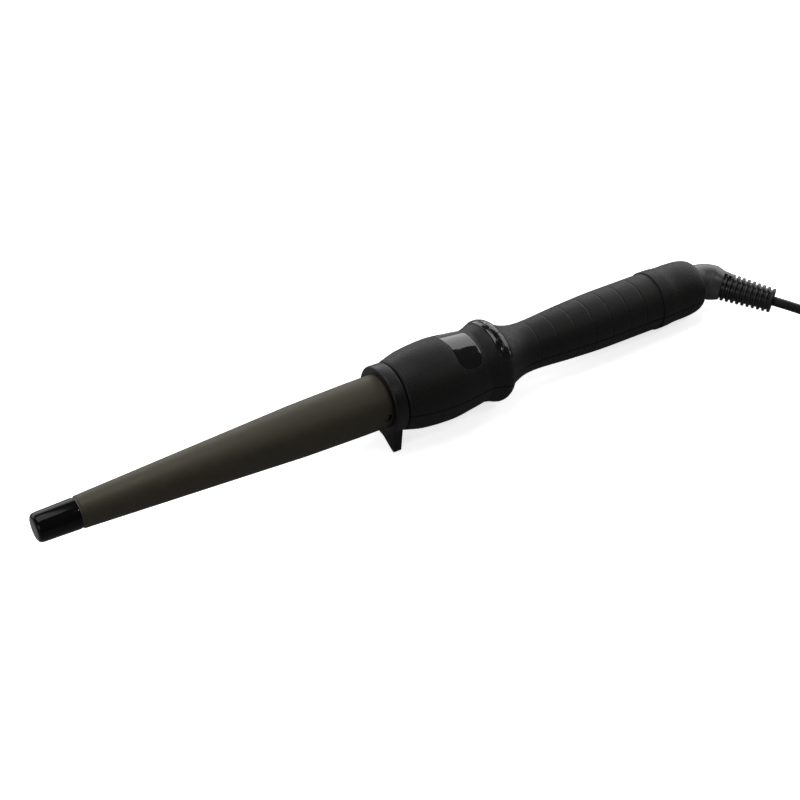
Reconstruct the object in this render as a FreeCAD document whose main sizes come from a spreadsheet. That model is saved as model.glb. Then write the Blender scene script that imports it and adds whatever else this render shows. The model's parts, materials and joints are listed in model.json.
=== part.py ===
"""Conical curling wand with a swivel cord, as an assembly of separate pieces, in millimetres.

Every piece is drawn in the wand's own frame: X runs along the axis from the end of the cool tip
towards the cord, Y points away from the side with the cord, and Z points up through the display.
One shared placement then tilts the wand and stands it on its foot and on the band of the handle.
The display, buttons and electronics sit in the housing between the collar and the handle.
"""
import FreeCAD, Part
import math
import os
import Sketcher

Vector = FreeCAD.Vector
os.makedirs("parts", exist_ok=True)
doc = FreeCAD.newDocument("curling_wand")

# ---------------------------------------------------------------- driving dimensions
SIZES = {
    # stations along the axis, from the end of the cool tip
    "tip_length": 18.6,
    "cone_end": 121.6,
    "collar_x": 166.6,
    "collar_back": 170.5,
    "housing_front": 171.1,
    "bulge_x": 196.0,
    "neck_x": 215.1,
    "flange_x": 223.4,
    "waist_x": 247.5,
    "belly_x": 306.0,
    "band_front": 320.6,
    "band_back": 327.0,
    "handle_end": 349.8,
    "ball_x": 358.6,
    # radii about the axis
    "tip_radius": 6.8,
    "barrel_small_radius": 6.9,
    "barrel_cone_radius": 11.8,
    "barrel_base_radius": 12.5,
    "barrel_wall": 0.8,
    "collar_radius": 16.4,
    "front_radius": 16.6,
    "bulge_radius": 19.5,
    "neck_radius": 17.3,
    "flange_radius": 19.7,
    "waist_radius": 11.8,
    "belly_radius": 14.0,
    "band_radius": 14.9,
    "end_radius": 12.5,
    "shell_wall": 2.0,
    "groove_pitch": 10.4,
    "groove_count": 7,
    "groove_radius": 0.35,
    # the foot under the collar
    "foot_half_width": 12.7,
    "foot_depth": 23.0,
    "foot_arch": 20.2,
    "foot_thickness": 4.3,
    # display window and button strip, measured from the collar
    "window_front": 32.6,
    "window_back": 46.6,
    "window_half_width": 12.9,
    "window_corner": 5.5,
    "window_thickness": 1.2,
    "panel_gap": 0.05,
    "strip_front": 54.0,
    "strip_back": 60.8,
    "strip_half_width": 15.2,
    "strip_corner": 3.3,
    "button_angle": 30.0,
    "button_half_length": 3.9,
    "button_half_width": 2.1,
    "button_gap": 0.3,
    "button_stem_radius": 1.2,
    # fasteners
    "screw_radius": 1.25,
    "screw_head_radius": 2.3,
    "screw_head_height": 1.6,
    "screw_length": 12.0,
    "screw_seat": 7.5,
    "boss_radius": 3.6,
    "barrel_screw_x": 161.8,
    "barrel_screw_angle": 88.0,
    # electronics
    "board_length": 30.0,
    "board_width": 26.0,
    "board_thickness": 1.6,
    "board_height": 6.0,
    "wire_radius": 0.9,
    # swivel
    "stem_radius": 5.0,
    "running_clearance": 0.05,
    "ring_radius": 6.0,
    "ball_radius": 9.4,
    "neck_of_ball_radius": 8.8,
    "elbow_angle": 55.0,
    "elbow_length": 9.7,
    "relief_length": 26.5,
    "relief_start_radius": 7.4,
    "relief_end_radius": 6.2,
    "relief_ribs": 10,
    # cord
    "cord_radius": 2.4,
    "coil_radius": 28.8,
    "coil_half_width": 9.8,
    "coil_lift": 0.8,
    "coil_layers_height": 14.4,
    "coil_height": 19.2,
    "tie_width": 8.0,
    "tie_thickness": 0.7,
    "plug_body_length": 34.0,
    "plug_width": 35.3,
    "plug_thickness": 13.7,
    "plug_relief_length": 18.0,
    "pin_radius": 2.0,
    "pin_length": 19.0,
    "pin_spacing": 18.6,
}

sheet = doc.addObject("Spreadsheet::Sheet", "Sizes")
for row, (alias, number) in enumerate(SIZES.items(), start=1):
    sheet.set(f"A{row}", alias)
    sheet.set(f"B{row}", str(number))
    sheet.setAlias(f"B{row}", alias)
doc.recompute()


def size(alias):
    """The value of one driving dimension, read back from the sheet."""
    return float(getattr(sheet, alias))


COLLAR = size("collar_x")
AXIS_X = Vector(1, 0, 0)
AXIS_Y = Vector(0, 1, 0)
AXIS_Z = Vector(0, 0, 1)
ELBOW = math.radians(size("elbow_angle"))
pieces = {}


def keep(label, piece, local=FreeCAD.Placement()):
    """Name a finished piece and give it its place in the wand's own frame."""
    piece.Label = label
    piece.Placement = local
    pieces[label] = piece


# ---------------------------------------------------------------- drawing helpers
def outline_sketch(body, name, role, points):
    """A closed outline on one origin plane of a body. Each point is a pair of formulas."""
    sketch = body.newObject("Sketcher::SketchObject", name)
    plane = next(item for item in body.Origin.OriginFeatures if item.Role == role)
    sketch.AttachmentSupport = [(plane, "")]
    sketch.MapMode = "FlatFace"
    count = len(points)
    start = [
        Vector(
            100 + 50 * math.cos(2 * math.pi * i / count),
            100 + 50 * math.sin(2 * math.pi * i / count),
            0,
        )
        for i in range(count)
    ]
    for i in range(count):
        sketch.addGeometry(Part.LineSegment(start[i], start[(i + 1) % count]), False)
    for i in range(count):
        sketch.addConstraint(Sketcher.Constraint("Coincident", i, 2, (i + 1) % count, 1))
    for i, (along, across) in enumerate(points):
        for kind, formula, value in (
            ("DistanceX", along, start[i].x),
            ("DistanceY", across, start[i].y),
        ):
            index = sketch.addConstraint(Sketcher.Constraint(kind, -1, 1, i, 1, value))
            sketch.setExpression(f"Constraints[{index}]", formula)
    return sketch


def turned(name, points):
    """A body turned about the wand's axis from a half section of (station, radius) formulas."""
    body = doc.addObject("PartDesign::Body", name)
    sketch = outline_sketch(body, name + "_section", "XZ_Plane", points)
    turn = body.newObject("PartDesign::Revolution", name + "_turn")
    turn.Profile = sketch
    turn.ReferenceAxis = (sketch, ["H_Axis"])
    turn.Angle = 360
    body.Tip = turn
    return body


def ring(name, start, end, inner, outer):
    """A plain turned ring between two stations and two radii."""
    return turned(name, [(start, inner), (start, outer), (end, outer), (end, inner)])


def block(name, length, width, height, corner):
    """A box with formulas for its sizes and numbers for its low corner."""
    box = doc.addObject("Part::Box", name)
    for edge, formula in (("Length", length), ("Width", width), ("Height", height)):
        box.setExpression(edge, formula)
    box.Placement.Base = Vector(*corner)
    return box


def rod(name, radius, length, start, direction):
    """A cylinder with formulas for its sizes, from a start point along a direction."""
    bar = doc.addObject("Part::Cylinder", name)
    bar.setExpression("Radius", radius)
    bar.setExpression("Height", length)
    bar.Placement = FreeCAD.Placement(Vector(*start), FreeCAD.Rotation(AXIS_Z, Vector(*direction)))
    return bar


def fuse(name, shapes):
    """One solid from several overlapping shapes, or a group of separate ones."""
    joined = doc.addObject("Part::MultiFuse", name)
    joined.Shapes = shapes
    joined.Refine = True
    return joined


def cut(name, base, tool):
    """A base with a tool taken out of it."""
    result = doc.addObject("Part::Cut", name)
    result.Base = base
    result.Tool = tool
    result.Refine = True
    return result


def common(name, base, tool):
    """What two shapes share."""
    result = doc.addObject("Part::Common", name)
    result.Base = base
    result.Tool = tool
    result.Refine = True
    return result


def around(angle, name_of_shape, shape):
    """Turn a drawing shape about the wand's axis, away from straight up."""
    shape.Placement = FreeCAD.Placement(
        Vector(), FreeCAD.Rotation(AXIS_X, angle)
    ).multiply(shape.Placement)
    shape.Label = name_of_shape
    return shape


def radial(angle, station, radius):
    """A point on the wand at an angle from straight up, positive towards the near side."""
    turn = math.radians(angle)
    return Vector(station, -radius * math.sin(turn), radius * math.cos(turn))


# ---------------------------------------------------------------- barrel and cool tip
def make_cool_tip():
    tip = turned(
        "cool_tip",
        [
            ("0", "0"),
            ("0", "Sizes.tip_radius - 2.4"),
            ("1", "Sizes.tip_radius - 1.1"),
            ("2.7", "Sizes.tip_radius - 0.5"),
            ("Sizes.tip_length - 0.6", "Sizes.tip_radius"),
            ("Sizes.tip_length", "Sizes.tip_radius - 0.4"),
            ("Sizes.tip_length", "Sizes.barrel_small_radius - 1.3"),
            ("Sizes.tip_length + 8", "Sizes.barrel_small_radius - 1.3"),
            ("Sizes.tip_length + 8", "0"),
        ],
    )
    keep("cool_tip", tip)
    washer = ring(
        "tip_washer",
        "Sizes.tip_length",
        "Sizes.tip_length + 0.8",
        "Sizes.barrel_small_radius - 1.25",
        "Sizes.barrel_small_radius - 0.3",
    )
    keep("tip_washer", washer)


def barrel_screw_rods(name, radius, start_radius, end_radius):
    """One radial rod on each side of the barrel, for the screws or for their holes."""
    rods = []
    for side in (-1, 1):
        angle = side * size("barrel_screw_angle")
        start = radial(angle, size("barrel_screw_x"), start_radius)
        outward = radial(angle, 0, 1)
        length = str(end_radius - start_radius)
        rods.append(rod(f"{name}_{len(rods)}", radius, length, start, outward))
    return rods


def make_barrel():
    start = "Sizes.tip_length + 0.8"
    end = "Sizes.collar_x + 15.4"
    tube = turned(
        "barrel_tube",
        [
            (start, "Sizes.barrel_small_radius - Sizes.barrel_wall"),
            (start, "Sizes.barrel_small_radius - 0.3"),
            (start + " + 0.4", "Sizes.barrel_small_radius"),
            ("Sizes.cone_end", "Sizes.barrel_cone_radius"),
            ("Sizes.cone_end + 14.4", "Sizes.barrel_base_radius - 0.3"),
            ("Sizes.cone_end + 30", "Sizes.barrel_base_radius"),
            (end, "Sizes.barrel_base_radius"),
            (end, "Sizes.barrel_base_radius - Sizes.barrel_wall"),
            ("Sizes.cone_end + 30", "Sizes.barrel_base_radius - Sizes.barrel_wall"),
            ("Sizes.cone_end + 14.4", "Sizes.barrel_base_radius - 0.3 - Sizes.barrel_wall"),
            ("Sizes.cone_end", "Sizes.barrel_cone_radius - Sizes.barrel_wall"),
            (start + " + 0.4", "Sizes.barrel_small_radius - Sizes.barrel_wall"),
        ],
    )
    holes = fuse("barrel_holes", barrel_screw_rods("barrel_hole", "Sizes.screw_radius + 0.65", 10, 14))
    keep("barrel", cut("barrel_cut", tube, holes))

    sleeve = turned(
        "base_sleeve",
        [
            ("Sizes.cone_end + 31", "7"),
            ("Sizes.cone_end + 31", "Sizes.barrel_base_radius - Sizes.barrel_wall - 0.05"),
            (end, "Sizes.barrel_base_radius - Sizes.barrel_wall - 0.05"),
            (end, "Sizes.barrel_base_radius + 3.1"),
            (end + " + 3", "Sizes.barrel_base_radius + 3.1"),
            (end + " + 3", "7"),
        ],
    )
    threads = fuse("sleeve_holes", barrel_screw_rods("sleeve_hole", "Sizes.screw_radius + 0.02", 7.8, 14))
    keep("barrel_base", cut("base_cut", sleeve, threads))

    shanks = barrel_screw_rods("barrel_screw_shank", "Sizes.screw_radius", 8, 11.7)
    heads = barrel_screw_rods("barrel_screw_head", "Sizes.screw_radius + 0.55", 11.66, 12.7)
    keep("barrel_screws", fuse("barrel_screw_pair", shanks + heads))


# ---------------------------------------------------------------- heater inside the barrel
HEATER_START = 36.0
HEATER_END = 118.0


def heater_half(name, side):
    """Half of the aluminium cone that carries heat from the ceramic element to the barrel."""
    spread = doc.addObject("Part::Cone", name + "_cone")
    taper = (size("barrel_cone_radius") - size("barrel_small_radius")) / (size("cone_end") - 20)
    inner_radius = size("barrel_small_radius") - size("barrel_wall") - 0.25
    spread.Radius1 = inner_radius + taper * (HEATER_START - 20)
    spread.Radius2 = inner_radius + taper * (HEATER_END - 20)
    spread.Height = HEATER_END - HEATER_START
    spread.Placement = FreeCAD.Placement(
        Vector(HEATER_START, 0, 0), FreeCAD.Rotation(AXIS_Z, AXIS_X)
    )
    low = -20 if side > 0 else -1.35
    away = block(name + "_away", "100", "40", "21.35", (HEATER_START - 5, -20, low))
    keep(name, cut(name + "_half", spread, away))


def make_heater():
    heater_half("heater_upper", 1)
    heater_half("heater_lower", -1)
    element = block("element", "60", "10", "2.4", (0, 0, 0))
    keep("ceramic_heater", element, FreeCAD.Placement(Vector(45, -5, -1.2), FreeCAD.Rotation()))
    sensor = rod("sensor", "1.1", "5", (0, 0, 0), (1, 0, 0))
    keep("thermistor", sensor, FreeCAD.Placement(Vector(108, 0, 0), sensor.Placement.Rotation))
    fuse_body = rod("fuse_body", "2.2", "9", (0, 0, 0), (1, 0, 0))
    place = FreeCAD.Placement(Vector(124, 0, 6), fuse_body.Placement.Rotation)
    keep("thermal_fuse", fuse_body, place)
    leads = []
    for side in (-1, 1):
        start = (105.2, 3 * side, 0)
        leads.append(rod(f"lead_{len(leads)}", "Sizes.wire_radius", "94.4", start, (1, 0, 0)))
    keep("heater_leads", fuse("lead_pair", leads))


# ---------------------------------------------------------------- collar with its foot
def make_collar():
    bore = "Sizes.barrel_base_radius + 0.1"
    body = turned(
        "collar",
        [
            ("Sizes.collar_x - 2.6", bore),
            ("Sizes.collar_x - 2.6", "Sizes.collar_radius - 0.8"),
            ("Sizes.collar_x - 1.8", "Sizes.collar_radius"),
            ("Sizes.collar_back - 2", "Sizes.collar_radius"),
            ("Sizes.collar_back", "Sizes.collar_radius - 0.7"),
            ("Sizes.collar_back", bore),
        ],
    )
    half = "Sizes.foot_half_width"
    plate = outline_sketch(
        body,
        "foot_outline",
        "YZ_Plane",
        [
            (f"-{half} + 0.4", "-8"),
            (f"-{half}", "-Sizes.foot_depth"),
            (f"-{half} + 1.8", "-Sizes.foot_depth"),
            ("-3", "-Sizes.foot_arch"),
            ("3", "-Sizes.foot_arch"),
            (f"{half} - 1.8", "-Sizes.foot_depth"),
            (half, "-Sizes.foot_depth"),
            (f"{half} - 0.4", "-8"),
        ],
    )
    plate.AttachmentOffset = FreeCAD.Placement(
        Vector(0, 0, size("collar_back") - size("foot_thickness")), FreeCAD.Rotation()
    )
    foot = body.newObject("PartDesign::Pad", "foot")
    foot.Profile = plate
    foot.setExpression("Length", "Sizes.foot_thickness")
    body.Tip = foot
    clear = rod("collar_bore", bore, "20", (size("collar_x") - 8, 0, 0), (1, 0, 0))
    keep("collar_stand", cut("collar_cut", body, clear))


# ---------------------------------------------------------------- housing and handle shells
def shell_outer_edges():
    """The outer outline of the housing and handle, from the collar to the swivel."""
    front = size("housing_front")
    flange = size("flange_x")
    radius = size("flange_radius")
    end = size("handle_end")
    housing = [
        Vector(front + 1.4, 0, size("front_radius")),
        Vector(front + 10, 0, size("bulge_radius") - 0.95),
        Vector(size("bulge_x"), 0, size("bulge_radius")),
        Vector(size("neck_x") - 8, 0, size("neck_radius") + 1.1),
        Vector(size("neck_x"), 0, size("neck_radius")),
    ]
    grip = [
        housing[-1],
        Vector(flange - 4.6, 0, radius - 1.5),
        Vector(flange, 0, radius),
        Vector(flange + 3.4, 0, radius - 0.9),
        Vector(flange + 6.2, 0, radius - 3.7),
        Vector(flange + 15, 0, size("waist_radius") + 0.8),
        Vector(size("waist_x"), 0, size("waist_radius")),
        Vector(size("waist_x") + 20, 0, size("waist_radius") + 1.2),
        Vector(size("belly_x") - 20, 0, size("belly_radius") - 0.15),
        Vector(size("belly_x"), 0, size("belly_radius")),
        Vector(size("band_front"), 0, size("belly_radius")),
    ]
    tail = [
        Vector(size("band_back") + 3.6, 0, size("belly_radius") - 0.1),
        Vector(end - 10, 0, size("belly_radius") - 0.2),
        Vector(end - 4, 0, size("end_radius") + 0.6),
        Vector(end - 1.2, 0, size("end_radius") - 0.5),
        Vector(end, 0, size("end_radius") - 1.6),
    ]
    edges = [Part.LineSegment(Vector(front, 0, size("front_radius") - 1.2), housing[0]).toShape()]
    for points in (housing, grip):
        curve = Part.BSplineCurve()
        curve.interpolate(points)
        edges.append(curve.toShape())
    band = [
        grip[-1],
        Vector(size("band_front") + 0.4, 0, size("band_radius")),
        Vector(size("band_back"), 0, size("band_radius")),
        tail[0],
    ]
    edges += [Part.LineSegment(a, b).toShape() for a, b in zip(band, band[1:])]
    curve = Part.BSplineCurve()
    curve.interpolate(tail)
    edges.append(curve.toShape())
    return edges


def shell_inner_points():
    """The hollow of the housing and handle, one wall inside the outer form."""
    wall = size("shell_wall")
    front = size("housing_front")
    flange = size("flange_x")
    return [
        Vector(front + 2.5, 0, size("barrel_base_radius") + 0.1),
        Vector(front + 2.5, 0, size("front_radius") - wall - 0.3),
        Vector(size("bulge_x") - 12, 0, size("bulge_radius") - wall - 0.6),
        Vector(size("bulge_x"), 0, size("bulge_radius") - wall),
        Vector(size("neck_x"), 0, size("neck_radius") - wall),
        Vector(flange + 2, 0, size("neck_radius") - wall),
        Vector(flange + 12, 0, size("waist_radius") - wall + 0.9),
        Vector(size("waist_x"), 0, size("waist_radius") - wall),
        Vector(size("belly_x") - 20, 0, size("belly_radius") - wall - 0.2),
        Vector(size("handle_end") - 9, 0, size("belly_radius") - wall - 0.4),
        Vector(size("handle_end") - 9, 0, size("neck_of_ball_radius") + 0.4),
        Vector(size("handle_end"), 0, size("neck_of_ball_radius") + 0.4),
    ]


def make_shell_form():
    """The hollow turned form that the parting plane splits into two shells."""
    outer = shell_outer_edges()
    inner = shell_inner_points()
    front_low = Vector(size("housing_front"), 0, size("barrel_base_radius") + 0.1)
    path = [front_low] + inner
    edges = [Part.LineSegment(a, b).toShape() for a, b in zip(path, path[1:])]
    first = Vector(size("housing_front"), 0, size("front_radius") - 1.2)
    last = Vector(size("handle_end"), 0, size("end_radius") - 1.6)
    edges.append(Part.LineSegment(path[-1], last).toShape())
    edges.append(Part.LineSegment(front_low, first).toShape())
    wire = Part.Wire(Part.__sortEdges__(edges + outer))
    solid = Part.Face(wire).revolve(Vector(), AXIS_X, 360)
    form = doc.addObject("Part::Feature", "shell_form")
    form.Shape = solid
    return form


def grip_radius(station):
    """The handle's radius where a groove is cut, between its waist and its belly."""
    waist = size("waist_x")
    share = min(1.0, max(0.0, (station - waist) / (size("belly_x") - 20 - waist)))
    blend = math.sin(share * math.pi / 2)
    return size("waist_radius") + (size("belly_radius") - size("waist_radius")) * blend


def make_grooves():
    """The shallow rings round the grip."""
    rings = []
    for i in range(int(size("groove_count"))):
        station = size("waist_x") + i * size("groove_pitch") - 0.5
        groove = doc.addObject("Part::Torus", f"groove_{i}")
        groove.Radius1 = grip_radius(station)
        groove.setExpression("Radius2", "Sizes.groove_radius")
        groove.Placement = FreeCAD.Placement(
            Vector(station, 0, 0), FreeCAD.Rotation(AXIS_Z, AXIS_X)
        )
        rings.append(groove)
    return rings


def plan_prism(name, kind, corner, gap=0.0):
    """An upright prism with rounded corners, shaped in plan like the window or the button strip.

    With a gap it is smaller on every side, to trim the panel that goes into the opening.
    """
    front = f"Sizes.{kind}_front"
    back = f"Sizes.{kind}_back"
    half_width = f"Sizes.{kind}_half_width"
    box = block(
        name + "_box",
        f"{back} - {front} - {2 * gap}",
        f"2 * {half_width} - {2 * gap}",
        "30",
        (COLLAR + size(kind + "_front") + gap, gap - size(kind + "_half_width"), 0.5),
    )
    doc.recompute()
    rounded = doc.addObject("Part::Fillet", name)
    rounded.Base = box
    upright = [
        i + 1
        for i, edge in enumerate(box.Shape.Edges)
        if abs(edge.tangentAt(edge.FirstParameter).z) > 0.99
    ]
    rounded.Edges = [(i, corner, corner) for i in upright]
    return rounded


SCREWS = [
    (COLLAR + 25, 13.2),
    (COLLAR + 25, -13.2),
    (COLLAR + 96.0, 0),
    (COLLAR + 137.6, 0),
]


def upright_rods(name, radius, length, low):
    """One upright rod at each shell screw."""
    return [
        rod(f"{name}_{i}", radius, length, (x, y, low), (0, 0, 1))
        for i, (x, y) in enumerate(SCREWS)
    ]


def make_shells():
    form = make_shell_form()
    grooves = fuse("grooves", make_grooves())
    # the hollow grown by half a wall: what is inside it roots in the wall
    rooted = doc.addObject("Part::Feature", "boss_limit")
    hollow = shell_inner_points()[1:-2]
    half_wall = Vector(0, 0, size("shell_wall") / 2)
    outline = [Vector(hollow[0].x, 0, 0)]
    outline += [point + half_wall for point in hollow]
    outline += [Vector(hollow[-1].x, 0, 0), outline[0]]
    rooted.Shape = Part.Face(Part.makePolygon(outline)).revolve(Vector(), AXIS_X, 360)

    seat = size("screw_seat")
    long_box = ("400", "60")
    above = block("above_parting", *long_box, "30", (COLLAR - 50, -30, 0))
    below = block("below_parting", *long_box, "30", (COLLAR - 50, -30, -30))

    # lower half: bosses stand on its wall and take the screw heads from below
    low_bosses = fuse("low_bosses", upright_rods("low_boss", "Sizes.boss_radius", "25", -25))
    inside_low = common("low_bosses_inside", low_bosses, rooted)
    low_half = cut("low_grooved", common("low_half", form, below), grooves)
    low_solid = fuse("low_solid", [low_half, inside_low])
    shafts = upright_rods("low_bore", "Sizes.screw_radius + 0.15", "30", -26)
    sinks = upright_rods("head_sink", "Sizes.screw_head_radius + 0.2", "20", -20 - seat)
    keep("lower_shell", cut("low_cut", low_solid, fuse("low_holes", shafts + sinks)))

    # upper half: bosses hang from its wall, and the display and button strip are let into it
    high_bosses = fuse("high_bosses", upright_rods("high_boss", "Sizes.boss_radius - 1", "25", 0.0))
    inside_high = common("high_bosses_inside", high_bosses, rooted)
    high_half = cut("high_grooved", common("high_half", form, above), grooves)
    high_solid = fuse("high_solid", [high_half, inside_high])
    threads = upright_rods("thread", "Sizes.screw_radius + 0.03", "6", -0.5)
    window = plan_prism("window_opening", "window", size("window_corner"))
    slot = plan_prism("strip_opening", "strip", size("strip_corner"))
    keep("upper_shell", cut("high_cut", high_solid, fuse("high_openings", threads + [window, slot])))

    shanks = upright_rods("shell_screw_shank", "Sizes.screw_radius", "Sizes.screw_length", -seat)
    heads = upright_rods(
        "shell_screw_head",
        "Sizes.screw_head_radius",
        "Sizes.screw_head_height",
        -seat - size("screw_head_height"),
    )
    keep("shell_screws", fuse("shell_screw_set", shanks + heads))


# ---------------------------------------------------------------- display and buttons
def make_display():
    saddle = turned(
        "saddle",
        [
            ("Sizes.collar_x + 31", "18.7 - Sizes.window_thickness"),
            ("Sizes.collar_x + 31", "18.7"),
            ("Sizes.collar_x + 50", "16.65"),
            ("Sizes.collar_x + 50", "16.65 - Sizes.window_thickness"),
        ],
    )
    outline = plan_prism("window_trim", "window", size("window_corner"), size("panel_gap"))
    keep("display_window", common("window_cut", saddle, outline))
    module = block("module", "11", "16", "2.5", (0, 0, 0))
    place = FreeCAD.Placement(Vector(COLLAR + 35, -8, 10.4), FreeCAD.Rotation())
    keep("lcd_module", module, place)


def button_shape(name, angle, grow, low, high):
    """A block at the top of the flange, grown on all sides, then turned to its place."""
    middle = (size("strip_front") + size("strip_back")) / 2
    length = f"2 * (Sizes.button_half_width + {grow})"
    width = f"2 * (Sizes.button_half_length + {grow})"
    corner = (
        COLLAR + middle - size("button_half_width") - grow,
        -size("button_half_length") - grow,
        low,
    )
    return around(angle, name + "_turned", block(name, length, width, str(high - low), corner))


def make_buttons():
    top = "Sizes.flange_radius"
    front = "Sizes.collar_x + Sizes.strip_front"
    back = "Sizes.collar_x + Sizes.strip_back"
    band = turned(
        "strip_band",
        [
            (front + " - 1", f"{top} - 1.7"),
            (front + " - 1", f"{top} - 0.1"),
            ("Sizes.flange_x", f"{top} + 0.05"),
            (back + " + 0.5", f"{top} - 1.2"),
            (back + " + 0.5", f"{top} - 1.7"),
        ],
    )
    outline = plan_prism("strip_trim", "strip", size("strip_corner"), size("panel_gap"))
    strip = common("strip", band, outline)
    names = {"power_button": 0.0, "minus_button": 1.0, "plus_button": -1.0}
    openings = []
    switches = []
    for name, side in names.items():
        angle = side * size("button_angle")
        openings.append(button_shape(name + "_opening", angle, size("button_gap"), 12, 24))
        cap_band = turned(
            name + "_band",
            [
                (front, f"{top} - 1.6"),
                (front, f"{top} - 0.0"),
                ("Sizes.flange_x", f"{top} + 0.25"),
                (back, f"{top} - 0.8"),
                (back, f"{top} - 1.6"),
            ],
        )
        cap = common(name + "_cap", cap_band, button_shape(name + "_block", angle, 0, 12, 24))
        middle = COLLAR + (size("strip_front") + size("strip_back")) / 2
        outward = radial(angle, 0, 1)
        stem_start = radial(angle, middle, 15.7)
        stem = rod(name + "_stem", "Sizes.button_stem_radius", "2.8", stem_start, outward)
        keep(name, fuse(name + "_solid", [cap, stem]))
        body = block(name + "_switch", "4.4", "4.4", "1.6", (middle - 2.2, -2.2, 13.2))
        switches.append(around(angle, name + "_switch_turned", body))
        plunger_start = radial(angle, middle, 14.7)
        switches.append(rod(name + "_plunger", "0.9", "0.4", plunger_start, outward))
    keep("button_bezel", cut("bezel_cut", strip, fuse("button_openings", openings)))
    keep("tact_switches", fuse("switch_set", switches))
    arc = ring("flex_ring", front, back, "12.6", "13.1")
    fan = block("flex_fan", "20", "24", "16", (COLLAR + 48, -12, 7.7))
    keep("switch_board", common("flex_cut", arc, fan))


# ---------------------------------------------------------------- circuit board and wiring
def make_electronics():
    level = size("board_height")
    board = block(
        "board", "Sizes.board_length", "Sizes.board_width", "Sizes.board_thickness", (0, 0, 0)
    )
    start = COLLAR + 28.5
    place = FreeCAD.Placement(Vector(start, -size("board_width") / 2, level), FreeCAD.Rotation())
    keep("circuit_board", board, place)
    top = level + size("board_thickness")
    chip = block("chip", "7", "7", "1.2", (start + 9, -3.5, top))
    triac = block("triac", "4", "6", "1.6", (start + 1.5, 1.5, top))
    capacitor = rod("capacitor", "2.4", "9", (start + 17, 5, level - 2.4), (1, 0, 0))
    resistor = rod("resistor", "1.1", "6", (start + 18, -8, level - 1.1), (1, 0, 0))
    keep("board_components", fuse("component_set", [chip, triac, capacitor, resistor]))
    terminals = block("terminals", "10", "12", "8", (0, 0, 0))
    place = FreeCAD.Placement(Vector(COLLAR + 33, -6, level - 8), FreeCAD.Rotation())
    keep("terminal_block", terminals, place)
    wires = []
    for side in (-1, 1):
        start_point = (COLLAR + 43, 5 * side, -1.0)
        length = "Sizes.handle_end - 30 - Sizes.collar_x - 43"
        wires.append(rod(f"wire_{len(wires)}", "Sizes.wire_radius", length, start_point, (1, 0, 0)))
    keep("wire_harness", fuse("wire_pair", wires))


# ---------------------------------------------------------------- swivel joint at the handle's end
def make_swivel():
    end = "Sizes.handle_end"
    clearance = "Sizes.running_clearance"
    holder = turned(
        "holder",
        [
            (f"{end} - 30", "0"),
            (f"{end} - 30", "11.5"),
            (f"{end} - 17.4", "11.5"),
            (f"{end} - 17.4", "6.6"),
            (f"{end} - 18.6", "6.6"),
            (f"{end} - 18.6", "7.6"),
            (f"{end} - 28.8", "7.6"),
            (f"{end} - 28.8", "0"),
        ],
    )
    keep("brush_holder", holder)
    bearing = ring(
        "bearing", f"{end} - 14.4", f"{end} - 9.2", f"Sizes.stem_radius + {clearance}", "11.5"
    )
    keep("swivel_bearing", bearing)
    stem = turned(
        "stem",
        [
            (f"{end} - 28", "0"),
            (f"{end} - 28", "Sizes.stem_radius"),
            (f"{end} - 17", "Sizes.stem_radius"),
            (f"{end} - 17", "7.4"),
            (f"{end} - 14.8", "7.4"),
            (f"{end} - 14.8", "Sizes.stem_radius"),
            (f"{end} - 8.6", "Sizes.stem_radius"),
            (f"{end} - 8.6", "0"),
        ],
    )
    keep("swivel_stem", stem)
    rings = []
    brushes = []
    for i, offset in enumerate((26.4, 22.2)):
        start = f"{end} - {offset}"
        stop = f"{end} - {offset - 2.2}"
        rings.append(ring(f"slip_ring_{i}", start, stop, "Sizes.stem_radius", "Sizes.ring_radius"))
        middle = size("handle_end") - offset + 1.1
        brush = block(f"brush_{i}", "1.4", "3", "1.12", (middle - 0.7, -1.5, size("ring_radius") + 0.3))
        brushes.append(brush)
    keep("slip_rings", fuse("slip_ring_pair", rings))
    keep("contact_brushes", fuse("brush_pair", brushes))

    # the elbow: a neck and ball that turn the cord away from the axis
    neck = rod(
        "elbow_neck",
        "Sizes.neck_of_ball_radius",
        "Sizes.ball_x - Sizes.handle_end + 8.6",
        (size("handle_end") - 8.6, 0, 0),
        (1, 0, 0),
    )
    ball = doc.addObject("Part::Sphere", "elbow_ball")
    ball.setExpression("Radius", "Sizes.ball_radius")
    cone = doc.addObject("Part::Cone", "elbow_cone")
    cone.setExpression("Radius1", "Sizes.ball_radius - 0.2")
    cone.setExpression("Radius2", "Sizes.relief_start_radius")
    cone.setExpression("Height", "Sizes.elbow_length")
    way = Vector(math.cos(ELBOW), -math.sin(ELBOW), 0)
    lean = FreeCAD.Rotation(AXIS_Z, way)
    ball.Placement = FreeCAD.Placement(Vector(size("ball_x"), 0, 0), lean)
    cone.Placement = ball.Placement
    keep("swivel_elbow", fuse("elbow_solid", [neck, ball, cone]))
    return way, lean


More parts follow.
